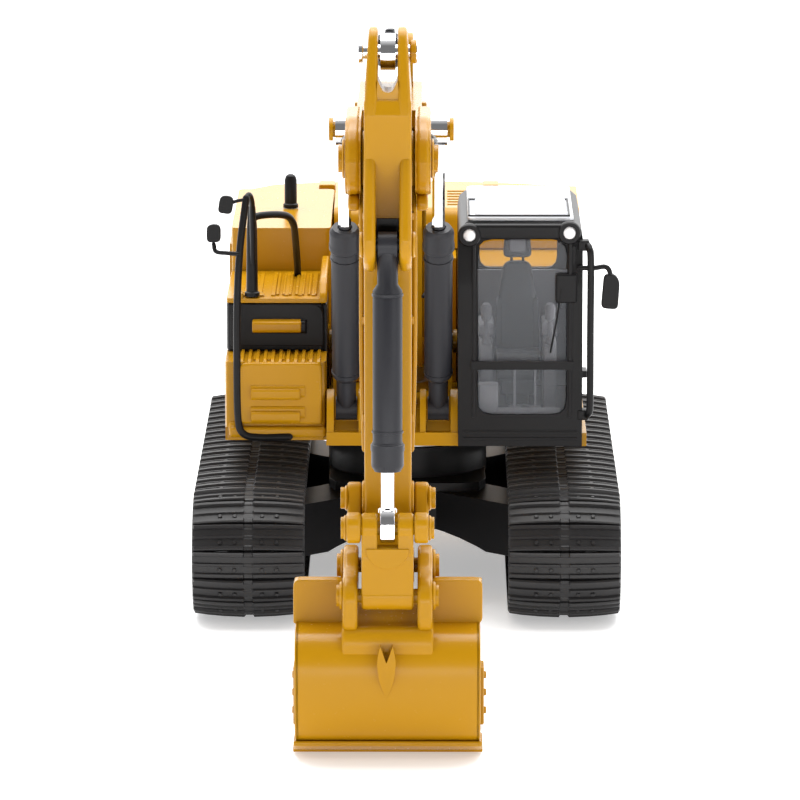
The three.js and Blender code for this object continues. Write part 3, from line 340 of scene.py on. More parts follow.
def piece(name, bm, look, body, replaces=(), limit=38):
    """Makes the piece, smooths it up to the limit in degrees, and lets it ride on its body."""
    bm.transform(FRAME_OF_MACHINE)
    for face in bm.faces:
        face.smooth = True
    for edge in bm.edges:
        edge.smooth = edge.calc_face_angle(0) < math.radians(limit)
    mesh = bpy.data.meshes.new(name)
    bm.to_mesh(mesh)
    bm.free()
    o = bpy.data.objects.new(name, mesh)
    bpy.context.scene.collection.objects.link(o)
    mesh.materials.append(look)
    weigh = o.modifiers.new("weigh", "WEIGHTED_NORMAL")
    weigh.keep_sharp = True
    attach(o, body)
    if replaces:
        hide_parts(*replaces)
    return o


# ---------------------------------------------------------------- tracks
AXLE = 22.3
WHEELBASE = 166
SHOES = 50
SHOE = [(0.25, -2.4), (0.25, -0.5), (0.6, 0), (1.5, 0), (1.9, -1.05), (3.9, -1.05), (4.2, -0.4),
        (4.9, -0.4), (5.2, -1.05), (7.3, -1.05), (7.7, -0.15), (8.6, -0.15), (8.95, -0.5), (8.95, -2.4)]
# Across the width: (share of the half width, drop of the whole section, share of the ridges' height).
STATIONS = [(-1, 1.75, 0.4), (-0.97, 1.4, 1), (-0.75, 0.8, 1), (-0.45, 0.3, 1), (-0.09, 0.02, 1),
            (-0.07, 0, 0.3), (0.07, 0, 0.3), (0.09, 0.02, 1), (0.45, 0.3, 1), (0.75, 0.8, 1),
            (0.97, 1.4, 1), (1, 1.75, 0.4)]


def loop_frame(s, radius):
    """Place on the belt's loop, and the directions along it and outwards, as (Y, Z) pairs."""
    arc, half = math.pi * radius, WHEELBASE / 2
    s %= 2 * (WHEELBASE + arc)
    if s < WHEELBASE:
        return (s - half, AXLE - radius), (1, 0), (0, -1)
    if s < WHEELBASE + arc:
        a = (s - WHEELBASE) / radius - math.pi / 2
        return (half + radius * math.cos(a), AXLE + radius * math.sin(a)), (-math.sin(a), math.cos(a)), \
            (math.cos(a), math.sin(a))
    if s < 2 * WHEELBASE + arc:
        return (half - (s - WHEELBASE - arc), AXLE + radius), (-1, 0), (0, 1)
    a = (s - 2 * WHEELBASE - arc) / radius + math.pi / 2
    return (-half + radius * math.cos(a), AXLE + radius * math.sin(a)), (-math.sin(a), math.cos(a)), \
        (math.cos(a), math.sin(a))


def track(name, x):
    bm = bmesh.new()
    radius, half = AXLE - 1.55, 18.8
    step = 2 * (WHEELBASE + math.pi * radius) / SHOES
    for i in range(SHOES):
        (y, z), along, out = loop_frame((i + 0.5) * step, radius)

        def spot(u, v, across):
            u, v = u - step / 2, v + 1.4
            return x + across, y + along[0] * u + out[0] * v, z + along[1] * u + out[1] * v

        rings = []
        for share, drop, ridge in STATIONS:
            rings.append([spot(u, v - drop if v < -2 else -1.05 + (v + 1.05) * ridge - drop, share * half)
                          for u, v in SHOE])
        skin(bm, rings)
        for side in (-1, 1):
            link = [(1.0, -2.2), (8.4, -2.2), (8.9, -4.2), (7.6, -5.7), (1.8, -5.7), (0.5, -4.2)]
            skin(bm, [[spot(u, v, side * a) for u, v in link] for a in (4.0, 6.2)])
        lathe(bm, [(0, 1.1), (14, 1.1)], spot(0.2, -4.0, -7), (1, 0, 0), 8)
        for across in (-9.5, -4.6, 4.6, 9.5):
            bolt(bm, spot(6.3, -1.25, across), (0, out[0], out[1]), 0.75, 0.55)
    piece(f"track_shoes_{name}", bm, TRACK, "chassis", (f"track_belt_{name}",), 30)


# ---------------------------------------------------------------- rails, mirrors and steps on the right
def right_side():
    bm = bmesh.new()
    y = -60
    tube(bm, [(-40, y, 57), (-50, y, 56.8), (-55.4, y, 58), (-57.3, y, 63.5), (-57.6, y, 84),
              (-57.4, y, 104), (-56.4, y + 2, 122), (-54.4, y + 5, 138.2)], 1.25)
    tube(bm, [(-54.4, y + 5, 138.2), (-53.5, y + 7, 139.0), (-52.8, y + 10, 137), (-52.6, y + 14, 132),
              (-52.6, y + 20, 118), (-52.8, y + 22.6, 108)], 1.0)
    for x, z, turn in ((-61.2, 136.2, 0.12), (-65.4, 126.4, -0.04)):
        face = [[-2.5, -3.1, 1.6], [2.3, -3.1, 1.6], [2.6, 3.1, 2.2], [-2.3, 3.1, 2.2]]
        part = bmesh.new()
        prism(part, "Y", face, -1.0, 1.0, 0.5)
        bmesh.ops.transform(part, verts=part.verts, matrix=Matrix.Translation((x, y + 4, z))
                            @ Matrix.Rotation(turn, 4, "Y"))
        merge_into(bm, part)
    tube(bm, [(-60, y + 4, 136.4), (-57.6, y + 4, 137.4), (-54.9, y + 4.4, 137.8)], 0.6)
    tube(bm, [(-65.4, y + 4, 122.6), (-64.6, y + 3.4, 120.2), (-61, y + 2, 119.9), (-56.8, y + 1, 119.8)],
         0.75)
    piece("right_handrail", bm, BLACK, "upper", ("step_handrail",))

    bm = bmesh.new()
    lathe(bm, [(0, 2.6), (1.2, 2.6), (1.6, 2.0), (24, 1.75), (31, 1.2)], (-53, -37.6, 101.7), (0, 0, 1), 16)
    tube(bm, [(-53, -37.6, 126), (-52.2, -37, 128.6), (-49, -34, 129), (-44, -28, 128.2),
              (-40.8, -23, 126.6), (-39.2, -18, 123), (-38.8, -11, 117.6), (-38.6, -4, 112),
              (-38.4, 3, 105), (-38.4, 5, 101.8)], 1.25)
    piece("tank_rail", bm, BLACK, "upper", ("tank_guard_rail",))

    bm = bmesh.new()
    for z, face in ((63.9, -58), (71.7, -58), (91.5, -39.5)):
        prism(bm, "X", [[face - 4.2, z - 1.5, 1.2], [face + 0.6, z - 2.5], [face + 0.6, z + 2.5],
                        [face - 4.2, z + 2.2, 1.2]], -52.9, -36.2, 0.5, 3)
    bulge = [[-57.6, 61.4, 3], [-28.8, 61.4, 1.2], [-28.8, 82.6, 2.4], [-57.6, 82.6, 4]]
    prism(bm, "Y", bulge, -60.4, -57, 2.2, 6)
    for i in range(11):
        x = -56.6 + i * 2.6
        prism(bm, "X", [[-59.6, 81.4], [-59.6, 82.8, 1], [-57, 83.6, 1], [-40.6, 83.6], [-40.6, 82]], x,
              x + 1.2, 0.25)
    block(bm, (-60.6, -57.4), (-59.4, -52), (57.6, 62), 1.2, 3)
    block(bm, (-60.4, -27.4), (-60.0, -56), (56.6, 60.4), 1.2, 3)
    for i in range(7):
        x = -45 + i * 2.15
        block(bm, (x, x + 1.15), (-34, 8), (100.6, 101.9), 0.45, 3)
    block(bm, (-59, -49), (-36.5, -31), (100.7, 101.8), 0.4)
    block(bm, (-59.4, -56), (-39.6, -33), (100.7, 103), 0.8)
    prism(bm, "X", [[-41, 99.6, 1], [-41, 102.6, 2], [-34, 107.4, 3], [11, 107.4], [11, 99.6]], -30.0,
          -27.4, 1.0, 3)
    piece("right_steps", bm, YELLOW, "upper")

    bm = bmesh.new()
    # Painted shade: these black sheets darken the back of the recess above the step box and the inner side beside
    # the tank, where shade falls.
    prism(bm, "Y", [[-60.4, 84.4, 1], [-28.6, 84.4, 1], [-28.6, 99.2, 4.5], [-60.4, 99.2, 4.5]], -39.6,
          -38.4, 0.5, 3)
    block(bm, (-28.9, -27.4), (-38, -12), (62, 99), 0.6)
    piece("step_recess_painted_shade", bm, BLACK, "upper")


# ---------------------------------------------------------------- cab
LAMPS = ((21.0, 127.9), (54.6, 128.7))             # X and Z of the work lamps
SEAT_X = 37.9


def cab():
    bm = bmesh.new()
    y = -70
    tube(bm, [(60.2, y + 4, 124.8), (61.3, y + 1, 123.4), (61.8, y, 119), (61.8, y, 95), (61.8, y, 71),
              (61.3, y + 1, 67), (60.2, y + 4, 65.6)], 1.2)
    for z in (66.2, 124.2):
        block(bm, (57.6, 61.4), (-68.4, -63.6), (z - 1.8, z + 1.8), 0.6)
    tube(bm, [(58, y + 0.5, 116.9), (63, y, 117), (66.6, y, 117.4), (68.2, y, 115.6), (68.5, y, 111)], 0.85)
    prism(bm, "Y", [[65.2, 103.4, 1.8], [71.0, 102.9, 1.8], [71.6, 112.6, 2.2], [69.8, 115.2, 2],
                    [66.2, 115.0, 2]],
          y - 1.5, y + 1.2, 0.6)
    piece("left_rail_and_mirror", bm, BLACK, "upper", ("cab_grab_rail",))

    bm = bmesh.new()
    for x, z in LAMPS:
        lathe(bm, [(0, 3.4), (0.6, 3.9), (2.4, 3.9), (3.0, 3.5), (3.0, 2.3), (1.6, 2.1)], (x, -66.6, z),
              (0, -1, 0))
    block(bm, (22, 54.6), (-69.2, -66.4), (126.4, 131.6), 1.2, 3)
    block(bm, (55.2, 56.9), (-67, -58), (66, 124), 0.3)
    block(bm, (50, 57.3), (-68.9, -64.4), (104.6, 114.8), 0.9, 3)
    tube(bm, [(52, -68.6, 110), (50.6, -68.9, 100), (48.4, -68.9, 88)], 0.35, 8)
    for z in (60.4, 58.2):
        block(bm, (19, 57.6), (-68.35, -66), (z - 0.35, z + 0.35), 0.15)
    for x in (22.6, 55):
        prism(bm, "Y", [[x - 0.6, 65.5], [x + 0.6, 65.5], [x + 0.6, 126.5], [x - 0.6, 126.5]], -68.5, -66.6,
              0.25)
    piece("cab_front_trim", bm, BLACK, "upper")

    bm = bmesh.new()
    for x, z in LAMPS:
        lathe(bm, [(0, 1.9), (1.4, 2.15), (1.9, 1.8), (2.25, 1.1), (2.35, 0.1)], (x, -67.6, z), (0, -1, 0))
    piece("work_lamp_lenses", bm, LAMP, "upper", ("work_light_right", "work_light_left"))

    bm = bmesh.new()
    prism(bm, "Z", [[20.4, -63, 3], [56.2, -63, 3], [56.2, 6.6, 3], [20.4, 6.6, 3]], 131.9, 132.9, 0.4)
    prism(bm, "Z", [[23, -58.8, 2], [54, -58.8, 2], [54, -26.4, 2], [23, -26.4, 2]], 132.8, 133.9, 0.5)
    piece("roof_panel", bm, HATCH_GLASS, "upper", ("roof_hatch",))

    bm = bmesh.new()
    for x in (20.6, 54.4):
        block(bm, (x, x + 0.6), (-60, -24.6), (132.6, 133.5), 0.15)
    for y0 in (-60.2, -25.0):
        block(bm, (21, 54.8), (y0, y0 + 0.6), (132.6, 133.4), 0.15)
    piece("roof_seals", bm, BLACK, "upper")

    bm = bmesh.new()
    for side in (-1, 1):
        x = SEAT_X + side * 10.9
        prism(bm, "X", [[-40, 62.6], [-9, 62.6], [-9, 84, 2], [-36, 85.6, 3], [-40, 80, 2]], x - 2.3,
              x + 2.3, 0.8, 3)
        prism(bm, "X", [[-30, 86, 1.5], [-9, 86, 1.5], [-9, 90, 1.5], [-28, 90.4, 1.5]], x - 2.6, x + 2.6,
              0.8, 3)
        lathe(bm, [(0, 1.6), (1.2, 1.2), (8, 0.8), (9, 1.7), (13, 1.9), (14.4, 1.2)], (x, -35.4, 85),
              (0, -0.2, 1), 14)
    block(bm, (20, 56.5), (4.4, 5.6), (62.5, 103.6), 0.3)
    block(bm, (19.7, 21), (-62, 4), (62.5, 79.6), 0.3)
    block(bm, (24, 31), (-63, -58), (62.4, 76), 1)
    prism(bm, "X", [[-63, 62.2], [-44, 62.2], [-44, 63.2], [-56, 63.6], [-63, 68]], 30.4, 52, 0.4)
    for x in (36.5, 43.5):
        prism(bm, "X", [[-60, 66.6], [-54, 65.2], [-54, 66.2], [-60, 68]], x - 2, x + 2, 0.3)
        tube(bm, [(x, -59, 67), (x, -58.4, 74), (x, -57.4, 80)], 0.4, 8)
    piece("cab_interior", bm, TRIM, "upper", ("operator_console",))

    bm = bmesh.new()
    prism(bm, "X", [[-38.5, 72, 3], [-12, 72, 2], [-10, 79, 2], [-36, 81.6, 4], [-39.4, 77, 3]], 30.4, 45.4,
          1.6, 4)
    back = [[-7.4, 78, 2], [7.4, 78, 2], [6.8, 96, 3], [4.6, 109.6, 3], [-4.6, 109.6, 3], [-6.8, 96, 3]]
    prism(bm, "Y", [[SEAT_X + a, b, r] for a, b, r in back], -15.4, -9.6, 1.6, 4)
    for side in (-1, 1):
        prism(bm, "Y", [[SEAT_X + side * a, b, 1.4] for a, b in ((5.4, 80), (7.8, 80), (7.2, 97),
                (5.4, 97))][::side],
              -17, -12, 1.0, 3)
    block(bm, (32, 43.8), (-34, -14), (66.4, 72.4), 0.8)
    block(bm, (34, 41.8), (-30, -16), (62.4, 67), 0.5)
    for x in (35.9, 39.9):
        lathe(bm, [(0, 0.5), (5, 0.5)], (x, -12.4, 108.4), (0, 0, 1), 10)
    prism(bm, "Y", [[SEAT_X + a, b, 2] for a, b in ((-5, 111), (5, 111), (4.2, 121), (-4.2, 121))], -14.4,
          -10.4, 1, 3)
    piece("seat_and_headrest", bm, SEAT, "upper", ("operator_seat",))

    bm = bmesh.new()
    prism(bm, "Y", [[SEAT_X + a, b, 1.2] for a, b in ((-2.9, 113), (2.9, 113), (2.6, 118.6),
            (-2.6, 118.6))],
          -14.9, -13.6, 0.4)
    piece("headrest_pad", bm, TRIM, "upper")


# ---------------------------------------------------------------- boom, stick and links
BOOM_X = -5                                        # plane of the boom; pivots are (Y, Z)
NOSE, TAIL_EYE, IDLER, BUCKET_PIN = (-252, 182), (-255, 215.3), (-256, 77.2), (-256, 56.1)
LINK_TOP, LINK_LOW = (-279.6, 72.9), (-279.6, 51.8)
LIFT_BASE, CROWD_BASE, CURL_BASE = (-55, 66), (-120, 198), (-275, 159.3)    # barrel base pivots
LIFT_EYE = (-99, 168.3)                            # boom cylinder rods on the boom


def disc(bm, pivot, x0, x1, radius, soft=0.4, sides=28):
    """A boss round a pivot (Y, Z), from x0 to x1 off the centre plane."""
    lathe(bm, [(0, radius - soft), (soft, radius), (x1 - x0 - soft, radius), (x1 - x0, radius - soft)],
          (BOOM_X + x0, *pivot), (1, 0, 0), sides)


def pair(bm, outline, inner, outer, soft, segments=3, warp=None):
    for side in (-1, 1):
        x = sorted((BOOM_X + side * inner, BOOM_X + side * outer))
        prism(bm, "X", outline, *x, soft, segments, warp)


def stick():
    bm = bmesh.new()
    prism(bm, "X", [[-268.6, 202.6, 1], [-270, 198, 0.6], [-266.4, 168], [-266.2, 150], [-262.8, 95, 6],
                    [-262.4, 77, 6], [-262.2, 52, 5], [-250, 50, 5], [-249.8, 77, 6], [-246.8, 100, 8],
                    [-237.4, 172, 6], [-237.2, 190], [-256, 201.8, 1]], BOOM_X - 7.2, BOOM_X + 7.2, 1.0, 3)

    def tip(v):
        share = max(0.0, min(1.0, (v.z - 202) / 22))
        low = 0.04 * max(0.0, min(1.0, (190 - v.z) / 4))
        off = v.x - BOOM_X
        side = 1 if off > 0 else -1
        return Vector((BOOM_X + side * (3.0 + (abs(off) - 3.0) * (1 - 0.36 * share - low)), v.y, v.z))

    pair(bm, [[-270, 198.2], [-263.6, 223.4, 6], [-246.6, 222.6, 8], [-240.6, 203, 6], [-237, 190],
              [-237.6, 184], [-266, 184], [-267.8, 190]], 3.0, 7.2, 1.2, 5, tip)
    prism(bm, "Y", [[BOOM_X - 3.6, 200.6], [BOOM_X + 3.6, 200.6], [BOOM_X + 3.1, 208.5, 1],
                    [BOOM_X + 1.4, 204.6, 2], [BOOM_X - 1.4, 204.6, 2], [BOOM_X - 3.1, 208.5, 1]], -268.0,
                    -256, 0.2)

    def finger(v):
        share = max(0.0, min(1.0, (v.z - 160) / 26))
        return Vector((v.x, v.y + 1.2 * share * share, v.z))

    pair(bm, [[-262, 149], [-274, 150.8, 5], [-281.2, 156.8, 5], [-280.4, 166, 6], [-268, 187, 12],
              [-262, 190]],
         3.6, 7.3, 1.5, 5, finger)
    disc(bm, NOSE, -8.0, 8.0, 8.5)
    for pivot, radius in ((IDLER, 5.4), (BUCKET_PIN, 5.6)):
        disc(bm, pivot, -8.0, 8.0, radius)
    piece("stick_casting", bm, YELLOW, "stick_arm", ("stick",))

    bm = bmesh.new()
    # Painted shade: the thin black block darkens the yellow recess between the cylinder-base ears, where shade
    # falls; the black disc is the pin through the barrel base.
    block(bm, (BOOM_X - 3.3, BOOM_X + 3.3), (-266.9, -266.0), (152, 166), 0.1)
    disc(bm, CURL_BASE, -7.0, 7.0, 2.1)
    piece("cylinder_base_painted_shade_and_pin", bm, BLACK, "stick_arm")

    bm = bmesh.new()
    for side in (-1, 1):
        for pivot, inner, outer, radius in ((CURL_BASE, 7.2, 8.4, 4.0), (TAIL_EYE, 6.6, 8.9, 3.6)):
            if side > 0 or pivot != TAIL_EYE:
                x0, x1 = sorted((side * inner, side * outer))
                disc(bm, pivot, x0, x1, radius, 0.5)
    for side in (-1, 1):
        x = BOOM_X + side * 7.3
        tube(bm, [(x, -244, 190), (x + side * 0.8, -249, 160), (x + side * 0.8, -252, 120), (x, -254, 92)],
             0.75, 10)
        for y, z in ((-248.6, 164), (-251.2, 132), (-253.2, 102)):
            block(bm, (x - 0.6, x + 0.6), (y - 2, y + 2), (z - 1.2, z + 1.2), 0.3)
    piece("stick_pins_and_lines", bm, YELLOW, "stick_arm")


def boom():
    bm = bmesh.new()
    pair(bm, [[-194, 188.4], [-208, 191.8], [-250, 194.4, 9], [-263.9, 189, 9], [-263.9, 176, 9],
              [-252, 169.8, 9], [-208, 171.2], [-194, 171.8]], 8.2, 13.1, 1.7, 5)
    pair(bm, [[-243, 172], [-256, 171, 2], [-257, 167, 2], [-250, 165.4, 3], [-244, 168, 2]], 8.8, 12.2,
         1.0, 3)
    for side in (-1, 1):
        x0, x1 = sorted((side * 10.0, side * 12.4))
        disc(bm, LIFT_EYE, x0, x1, 7.4, 0.8)
        x0, x1 = sorted((side * 13.1, side * 14.0))
        disc(bm, NOSE, x0, x1, 6.2, 0.5)
    piece("boom_nose_plates", bm, YELLOW, "boom_arm")

    bm = bmesh.new()
    for side in (-1, 1):
        for up in (0, 2.6):
            x = BOOM_X + side * 10.7
            tube(bm, [(x, -16, 84 + up), (x, -40, 118 + up), (x, -74, 156 + up), (x, -100, 174 + up),
                      (x, -140, 177.5 + up), (x, -186, 180 + up)], 0.75, 10)
        for y, z in ((-44, 124), (-84, 166), (-130, 178.4), (-172, 180.6)):
            block(bm, (x - 1.0, x + 1.0), (y - 1.6, y + 1.6), (z - 3.4, z + 3.4), 0.3)
    piece("boom_pipes", bm, YELLOW, "boom_arm")

    bm = bmesh.new()
    for side in (-1, 1):
        x = BOOM_X + side * 10.9
        tube(bm, [(x, -184, 180), (x + side * 2.2, -192, 180), (x + side * 3.4, -204, 180.6),
                  (x + side * 3.2, -216, 182), (x + side * 1.8, -224, 183.6)], 0.8, 10)
    tube(bm, [(BOOM_X + 10.4, -52, 104), (BOOM_X + 12.2, -47, 105.4), (BOOM_X + 13.2, -42, 104),
              (BOOM_X + 13, -38, 99)],
         0.6, 10)
    piece("boom_hoses", bm, BLACK, "boom_arm")


def links():
    bm = bmesh.new()
    y, z = LINK_TOP
    for x0, x1 in ((-7.9, -3.1), (3.1, 7.9)):
        disc(bm, LINK_TOP, x0, x1, 4.6, 0.5)
    disc(bm, LINK_LOW, -7.9, 7.9, 4.3, 0.5)
    prism(bm, "X", [[y - 4.1, z - 5.4, 1], [y - 4.7, z - 9, 1], [y - 4.4, z - 14.6],
                    [y - 4.0, LINK_LOW[1] - 1.2], [y + 3.2, LINK_LOW[1]], [y + 2.2, z - 15, 3],
                    [y + 1.6, z - 5.4, 1]], BOOM_X - 7.9, BOOM_X + 7.9,
          0.5, 3)
    pair(bm, [[y - 4.2, z + 0.6, 2], [y - 4.6, z - 8], [y + 2, z - 8], [y + 3.2, z, 2]], 3.1, 7.9, 0.5)
    smile = [[BOOM_X + 6.6 * math.cos(a), z - 5.6 + 6.2 * math.sin(a)] for a in
             (math.pi * (1 + k / 14) for k in range(15))]
    prism(bm, "Y", smile, y - 5.0, y - 4.2, 0.3)
    piece("power_link_casting", bm, YELLOW, "push_link", ("power_link",))

    bm = bmesh.new()
    for side in (-1, 1):
        x0, x1 = sorted((side * 8.1, side * 12.5))
        prism(bm, "X", [[-260.6, 72.2, 1.5], [-257.8, 82.4, 4], [-251.6, 81.6, 4], [-251.2, 73.4, 3.4],
                        [-254.6, 71.8, 3], [-276, 68.2, 3], [-284.2, 68.4, 4], [-284.6, 76.6, 4],
                        [-279, 77.9, 3]],
              BOOM_X + x0, BOOM_X + x1, 1.3, 4)
        x0, x1 = sorted((side * 12.3, side * 13.3))
        disc(bm, LINK_TOP, x0, x1, 3.9, 0.4)
        disc(bm, IDLER, x0, x1, 3.9, 0.4)
    piece("idler_link_castings", bm, YELLOW, "idler_links",
          ("idler_link_right", "idler_link_left"))


def rods():
    bm = bmesh.new()
    base, eye = Vector((BOOM_X, *CURL_BASE)), Vector((BOOM_X, *LINK_TOP))
    axis = (eye - base).normalized()
    lathe(bm, [(0, 1.95), (0.3, 2.0), (44.2, 2.0)], base + axis * 36.5, axis, 24)
    prism(bm, "X", [[-282.0, 78.8, 1], [-283.8, 76.4, 1.6], [-284.4, 72, 2], [-283.2, 68.8, 2],
                    [-276, 68.8, 3], [-275.2, 74, 3], [-277, 78.8, 1]], BOOM_X - 2.3, BOOM_X + 2.3, 0.5)
    lathe(bm, [(0, 2.4), (0.4, 2.9), (2.4, 2.9), (2.8, 2.4)], eye - axis * 6.2, axis, 24)
    piece("bucket_rod_plated", bm, CHROME, "bucket_rod", ("bucket_cylinder_rod",))


def barrel_details():
    """Collars, ports and hard lines on the barrels; distances run from the base pivot."""
    barrels = [("boom_barrels", x, LIFT_BASE, LIFT_EYE, 4.85, 73) for x in (BOOM_X - 15.6, BOOM_X + 15.6)]
    barrels += [("stick_barrel", BOOM_X, CROWD_BASE, TAIL_EYE, 5.2, 86),
                ("bucket_barrel", BOOM_X, CURL_BASE, LINK_TOP, 4.6, 69.1)]
    for i, (body, x, base, end, r, length) in enumerate(barrels):
        bm = bmesh.new()
        start = Vector((x, *base))
        axis = (Vector((x, *end)) - start).normalized()
        lathe(bm, [(0, r - 0.2), (0.2, r + 0.15), (1.0, r + 0.15), (1.2, r - 0.2)], start + axis * 14.6,
              axis, 32)
        lathe(bm, [(0, r), (0.4, r + 0.55), (2.2, r + 0.55), (2.5, r + 0.35), (6.8, r + 0.35),
                   (7.6, r - 0.1), (8.0, r - 0.9)], start + axis * (length - 8.6), axis, 32)
        lathe(bm, [(0, r - 0.1), (0.1, r + 0.2), (0.7, r + 0.2), (0.8, r - 0.1)],
              start + axis * (length - 12.5), axis, 32)
        behind = Vector((0, 1, 0)) - axis * axis.y
        behind.normalize()
        if body == "stick_barrel":
            behind = Vector((0, 0, 1)) - axis * axis.z
        for along in (18, length - 14.5) if body != "bucket_barrel" else ():
            lathe(bm, [(0, 1.5), (r - 0.6, 1.5), (r + 1.2, 1.3), (r + 1.4, 0.9)], start + axis * along,
                  behind, 14)
        side = axis.cross(behind)
        line = [start + axis * a + behind * (r + out) + side * 0.2
                for a, out in ((18, 0.8), (24, 0.5), (length * 0.6, 0.5), (length - 14.5, 0.8))]
        if body != "bucket_barrel":
            tube(bm, line, 0.5, 8)
        piece(f"barrel_details_{i}", bm, GREY, body)


# ---------------------------------------------------------------- bucket
def bucket():
    bm = bmesh.new()
    wrap = [(p.x, p.y) for p in curve_through([(y, z, 0) for y, z in (
        (-262, 41.2), (-272, 40.8), (-278.8, 40.0), (-283.2, 37.6), (-285.8, 32.4), (-286.6, 24.4),
        (-285, 15.2), (-280.4, 8), (-272.4, 3.2), (-262, 1.8), (-245, 1.5), (-229, 1.4))], 4)]
    centre = Vector((-258, 23))
    inner = []
    for i, p in enumerate(wrap):
        a, b = Vector(wrap[max(i - 1, 0)]), Vector(wrap[min(i + 1, len(wrap) - 1)])
        normal = Vector((b.y - a.y, a.x - b.x)).normalized()
        if normal.dot(centre - Vector(p)) < 0:
            normal = -normal
        inner.append(tuple(Vector(p) + normal * 1.5))
    prism(bm, "X", [list(p) for p in wrap + inner[::-1]], BOOM_X - 28.1, BOOM_X + 28.1, 0)
    cheek = [list(p) for p in wrap] + [[-229.4, 12, 2], [-237.6, 44, 2]]
    pair(bm, cheek, 26.8, 28.35, 0.45)
    for side in (-1, 1):
        x0, x1 = sorted((BOOM_X + side * 13.4, BOOM_X + side * 29.0))
        corner = [[x0, 40.4, 0.6], [x1, 40.4, 2], [x1, 54.2, 2.4], [x0, 54.2, 2.4]][::side]
        prism(bm, "Y", corner, -268.4, -263.4, 1.1, 4)
        prism(bm, "X", [[-266, 43.2], [-266, 45.6, 1], [-246, 50.4, 2], [-238, 46, 2], [-238, 43.4]], x0,
              x1, 0.5)
    pair(bm, [[-249.6, 44], [-249.6, 57, 5], [-251.6, 62, 5], [-260.4, 62, 5], [-267, 57.6, 4],
              [-280, 57.6, 5], [-285.4, 53.4, 5], [-285, 44, 4], [-282.4, 40.5, 1], [-262, 41]], 9.1, 13.7,
              1.2, 4)
    for side in (-1, 1):
        x0, x1 = sorted((side * 13.5, side * 14.6))
        disc(bm, BUCKET_PIN, x0, x1, 5.0, 0.4)
        disc(bm, LINK_LOW, x0, x1, 4.4, 0.4)
    prism(bm, "X", [[-284.6, 33, 2], [-285.7, 37, 3], [-284.2, 42.6, 3], [-270, 43.6, 3], [-252, 43.6],
                    [-252, 36]],
          BOOM_X - 14.0, BOOM_X + 14.0, 0.9, 4)
    prism(bm, "X", [[-279.6, 6.2, 0.6], [-280.0, 4.8, 0.8], [-275.4, 2.4, 1.4], [-266, 0.7, 2], [-250, 0.4],
                    [-250, 1.8], [-266, 2.6], [-274, 4.6]], BOOM_X - 28.8, BOOM_X + 28.8, 0.4, 3)
    prism(bm, "X", [[-272, 2.6], [-272.6, 0.9, 0.6], [-262, 0.15, 0.6], [-250, 0.1], [-250, 1.4]],
          BOOM_X - 29.1,
          BOOM_X + 29.1, 0.3)

    def blend(v):
        share = max(0.0, min(1.0, (v.z - 20.5) / 14))
        return Vector((v.x, v.y if v.y > -285 else v.y + 3.2 * (1 - share) ** 1.3, v.z))

    lug_x = BOOM_X - 0.3
    outline = [(-3.0, 33.6, 2.4), (-1.9, 38.2, 0.5), (0, 32.6, 0.6), (1.9, 38.2, 0.5), (3.0, 33.6, 2.4),
               (2.4, 27, 3), (0.0, 20.6, 0.5), (-2.4, 27, 3)]
    prism(bm, "Y", [[lug_x + a, b, r] for a, b, r in outline], -289.3, -284, 0.6, 3, blend)
    piece("bucket_shell", bm, YELLOW, "bucket_shell", ("bucket",))

    bm = bmesh.new()
    prism(bm, "X", [[-231, 0.5], [-222, 0.5], [-218.6, 1.3], [-221, 3.8], [-231, 3.8]], BOOM_X - 28.85,
          BOOM_X + 28.85, 0.3)
    for i in range(-2, 3):
        x = BOOM_X + i * 12.2
        tooth = [[-227, 0.4], [-209.2, 0.9, 0.3], [-209.2, 1.8, 0.3], [-216, 4.8, 1], [-228, 5.4, 1]]
        prism(bm, "X", tooth, x - 2.9, x + 2.9, 0.5, 3,
              lambda v, x=x: Vector((x + (v.x - x) * (1 - 0.3 * max(0, (v.y + 218) / 9)), v.y, v.z)))
        block(bm, (x - 3.5, x + 3.5), (-229, -221), (0.3, 6), 0.8)
    pair(bm, [[-240, 1.4], [-226, 1.4], [-222.6, 5, 1], [-225.6, 8, 1], [-224, 11.6, 1], [-227, 15, 1],
              [-226.4, 19, 1], [-240, 20, 1]], 28.0, 29.8, 0.5)
    for side in (-1, 1):
        for y, z in ((-235, 5), (-234, 10.5), (-233.6, 16)):
            bolt(bm, (BOOM_X + side * 29.7, y, z), (side, 0, 0), 1.3, 0.7 + 0.15 * side)
    piece("bucket_edge_and_teeth", bm, YELLOW, "bucket_shell")


for side_name, side_x in (("right", -52.85), ("left", 52.85)):
    track(side_name, side_x)
right_side()
cab()
stick()
boom()
links()
rods()
barrel_details()
bucket()


# ---------------------------------------------------------------- camera, floor and light
FLOOR_HALF, FLOOR_DROP, FLOOR_GLOW = 6.0, 0.0002, 0.4
SKY_FROM, SKY_TO = (-0.7, 0.9), (0.2, 2.2)         # direction Y, and the strength of the light from there
LENS, SENSOR, DISTANCE = 275, 36, 2.04             # millimetres, millimetres, metres
ELEVATION, AZIMUTH = math.radians(11), math.radians(0.3)
TARGET = Vector((-2.2, -20.3, 76.0)) * MM


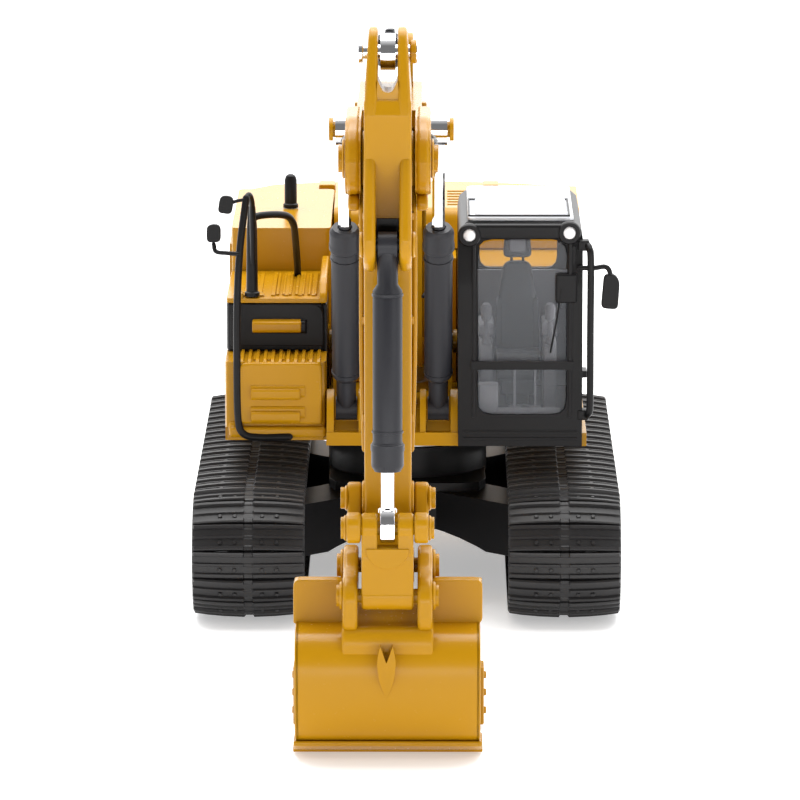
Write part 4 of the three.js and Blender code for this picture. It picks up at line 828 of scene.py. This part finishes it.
def build_stage():
    scene = bpy.context.scene
    scene.view_settings.view_transform = "Standard"
    low = bpy.data.meshes.new("floor")
    corners = [(a * FLOOR_HALF, b * FLOOR_HALF, 0) for a, b in ((-1, -1), (1, -1), (1, 1), (-1, 1))]
    low.from_pydata(corners, [], [(0, 1, 2, 3)])
    floor = bpy.data.objects.new("floor", low)
    floor.location.z = -FLOOR_DROP
    scene.collection.objects.link(floor)
    pale = material("pale_floor", (0.8, 0.8, 0.8), 0.9, vary=0.01, grain=0.0, spec=0.1)
    shader = pale.node_tree.nodes["Principled BSDF"]
    shader.inputs["Emission Color"].default_value = (1, 1, 1, 1)
    shader.inputs["Emission Strength"].default_value = FLOOR_GLOW
    floor.data.materials.append(pale)

    world = bpy.data.worlds.new("studio")
    world.use_nodes = True
    n, link = world.node_tree.nodes, world.node_tree.links.new
    where, split = n.new("ShaderNodeTexCoord"), n.new("ShaderNodeSeparateXYZ")
    fade = n.new("ShaderNodeMapRange")             # brighter behind and above the model than in front of it
    fade.inputs["From Min"].default_value, fade.inputs["From Max"].default_value = SKY_FROM
    fade.inputs["To Min"].default_value, fade.inputs["To Max"].default_value = SKY_TO
    link(where.outputs["Generated"], split.inputs[0])
    link(split.outputs["Y"], fade.inputs["Value"])
    seen, pick = n.new("ShaderNodeLightPath"), n.new("ShaderNodeMix")
    pick.inputs["B"].default_value = 1.0           # the backdrop itself is plain white
    link(seen.outputs["Is Camera Ray"], pick.inputs["Factor"])
    link(fade.outputs["Result"], pick.inputs["A"])
    link(pick.outputs["Result"], n["Background"].inputs["Strength"])
    n["Background"].inputs["Color"].default_value = (1, 1, 1, 1)
    scene.world = world

    def lamp(name, where, aim, width, height, power):
        light = bpy.data.lights.new(name, "AREA")
        light.shape = "RECTANGLE"
        light.size, light.size_y, light.energy = width, height, power
        o = bpy.data.objects.new(name, light)
        o.location = where
        o.rotation_euler = (Vector(aim) - Vector(where)).to_track_quat("-Z", "Y").to_euler()
        scene.collection.objects.link(o)

    lamp("top", (0, 0.3, 1.2), (0, 0, 0.1), 1.4, 1.2, 26)
    lamp("left", (-0.9, -0.9, 0.6), (0, 0, 0.1), 0.6, 0.9, 1.5)
    lamp("right", (0.9, -0.9, 0.6), (0, 0, 0.1), 0.6, 0.9, 2.6)
    lamp("low", (0.1, -1.1, 0.08), (0, 0, 0.02), 1.6, 0.12, 3.6)

    camera = bpy.data.objects.new("camera", bpy.data.cameras.new("camera"))
    camera.data.lens = LENS
    camera.data.sensor_width = SENSOR
    camera.data.clip_end = 20
    level = math.cos(ELEVATION)
    back = Vector((math.sin(AZIMUTH) * level, -math.cos(AZIMUTH) * level, math.sin(ELEVATION)))
    camera.location = TARGET + back * DISTANCE
    camera.rotation_euler = (TARGET - camera.location).to_track_quat("-Z", "Y").to_euler()
    scene.collection.objects.link(camera)
    scene.camera = camera


build_stage()
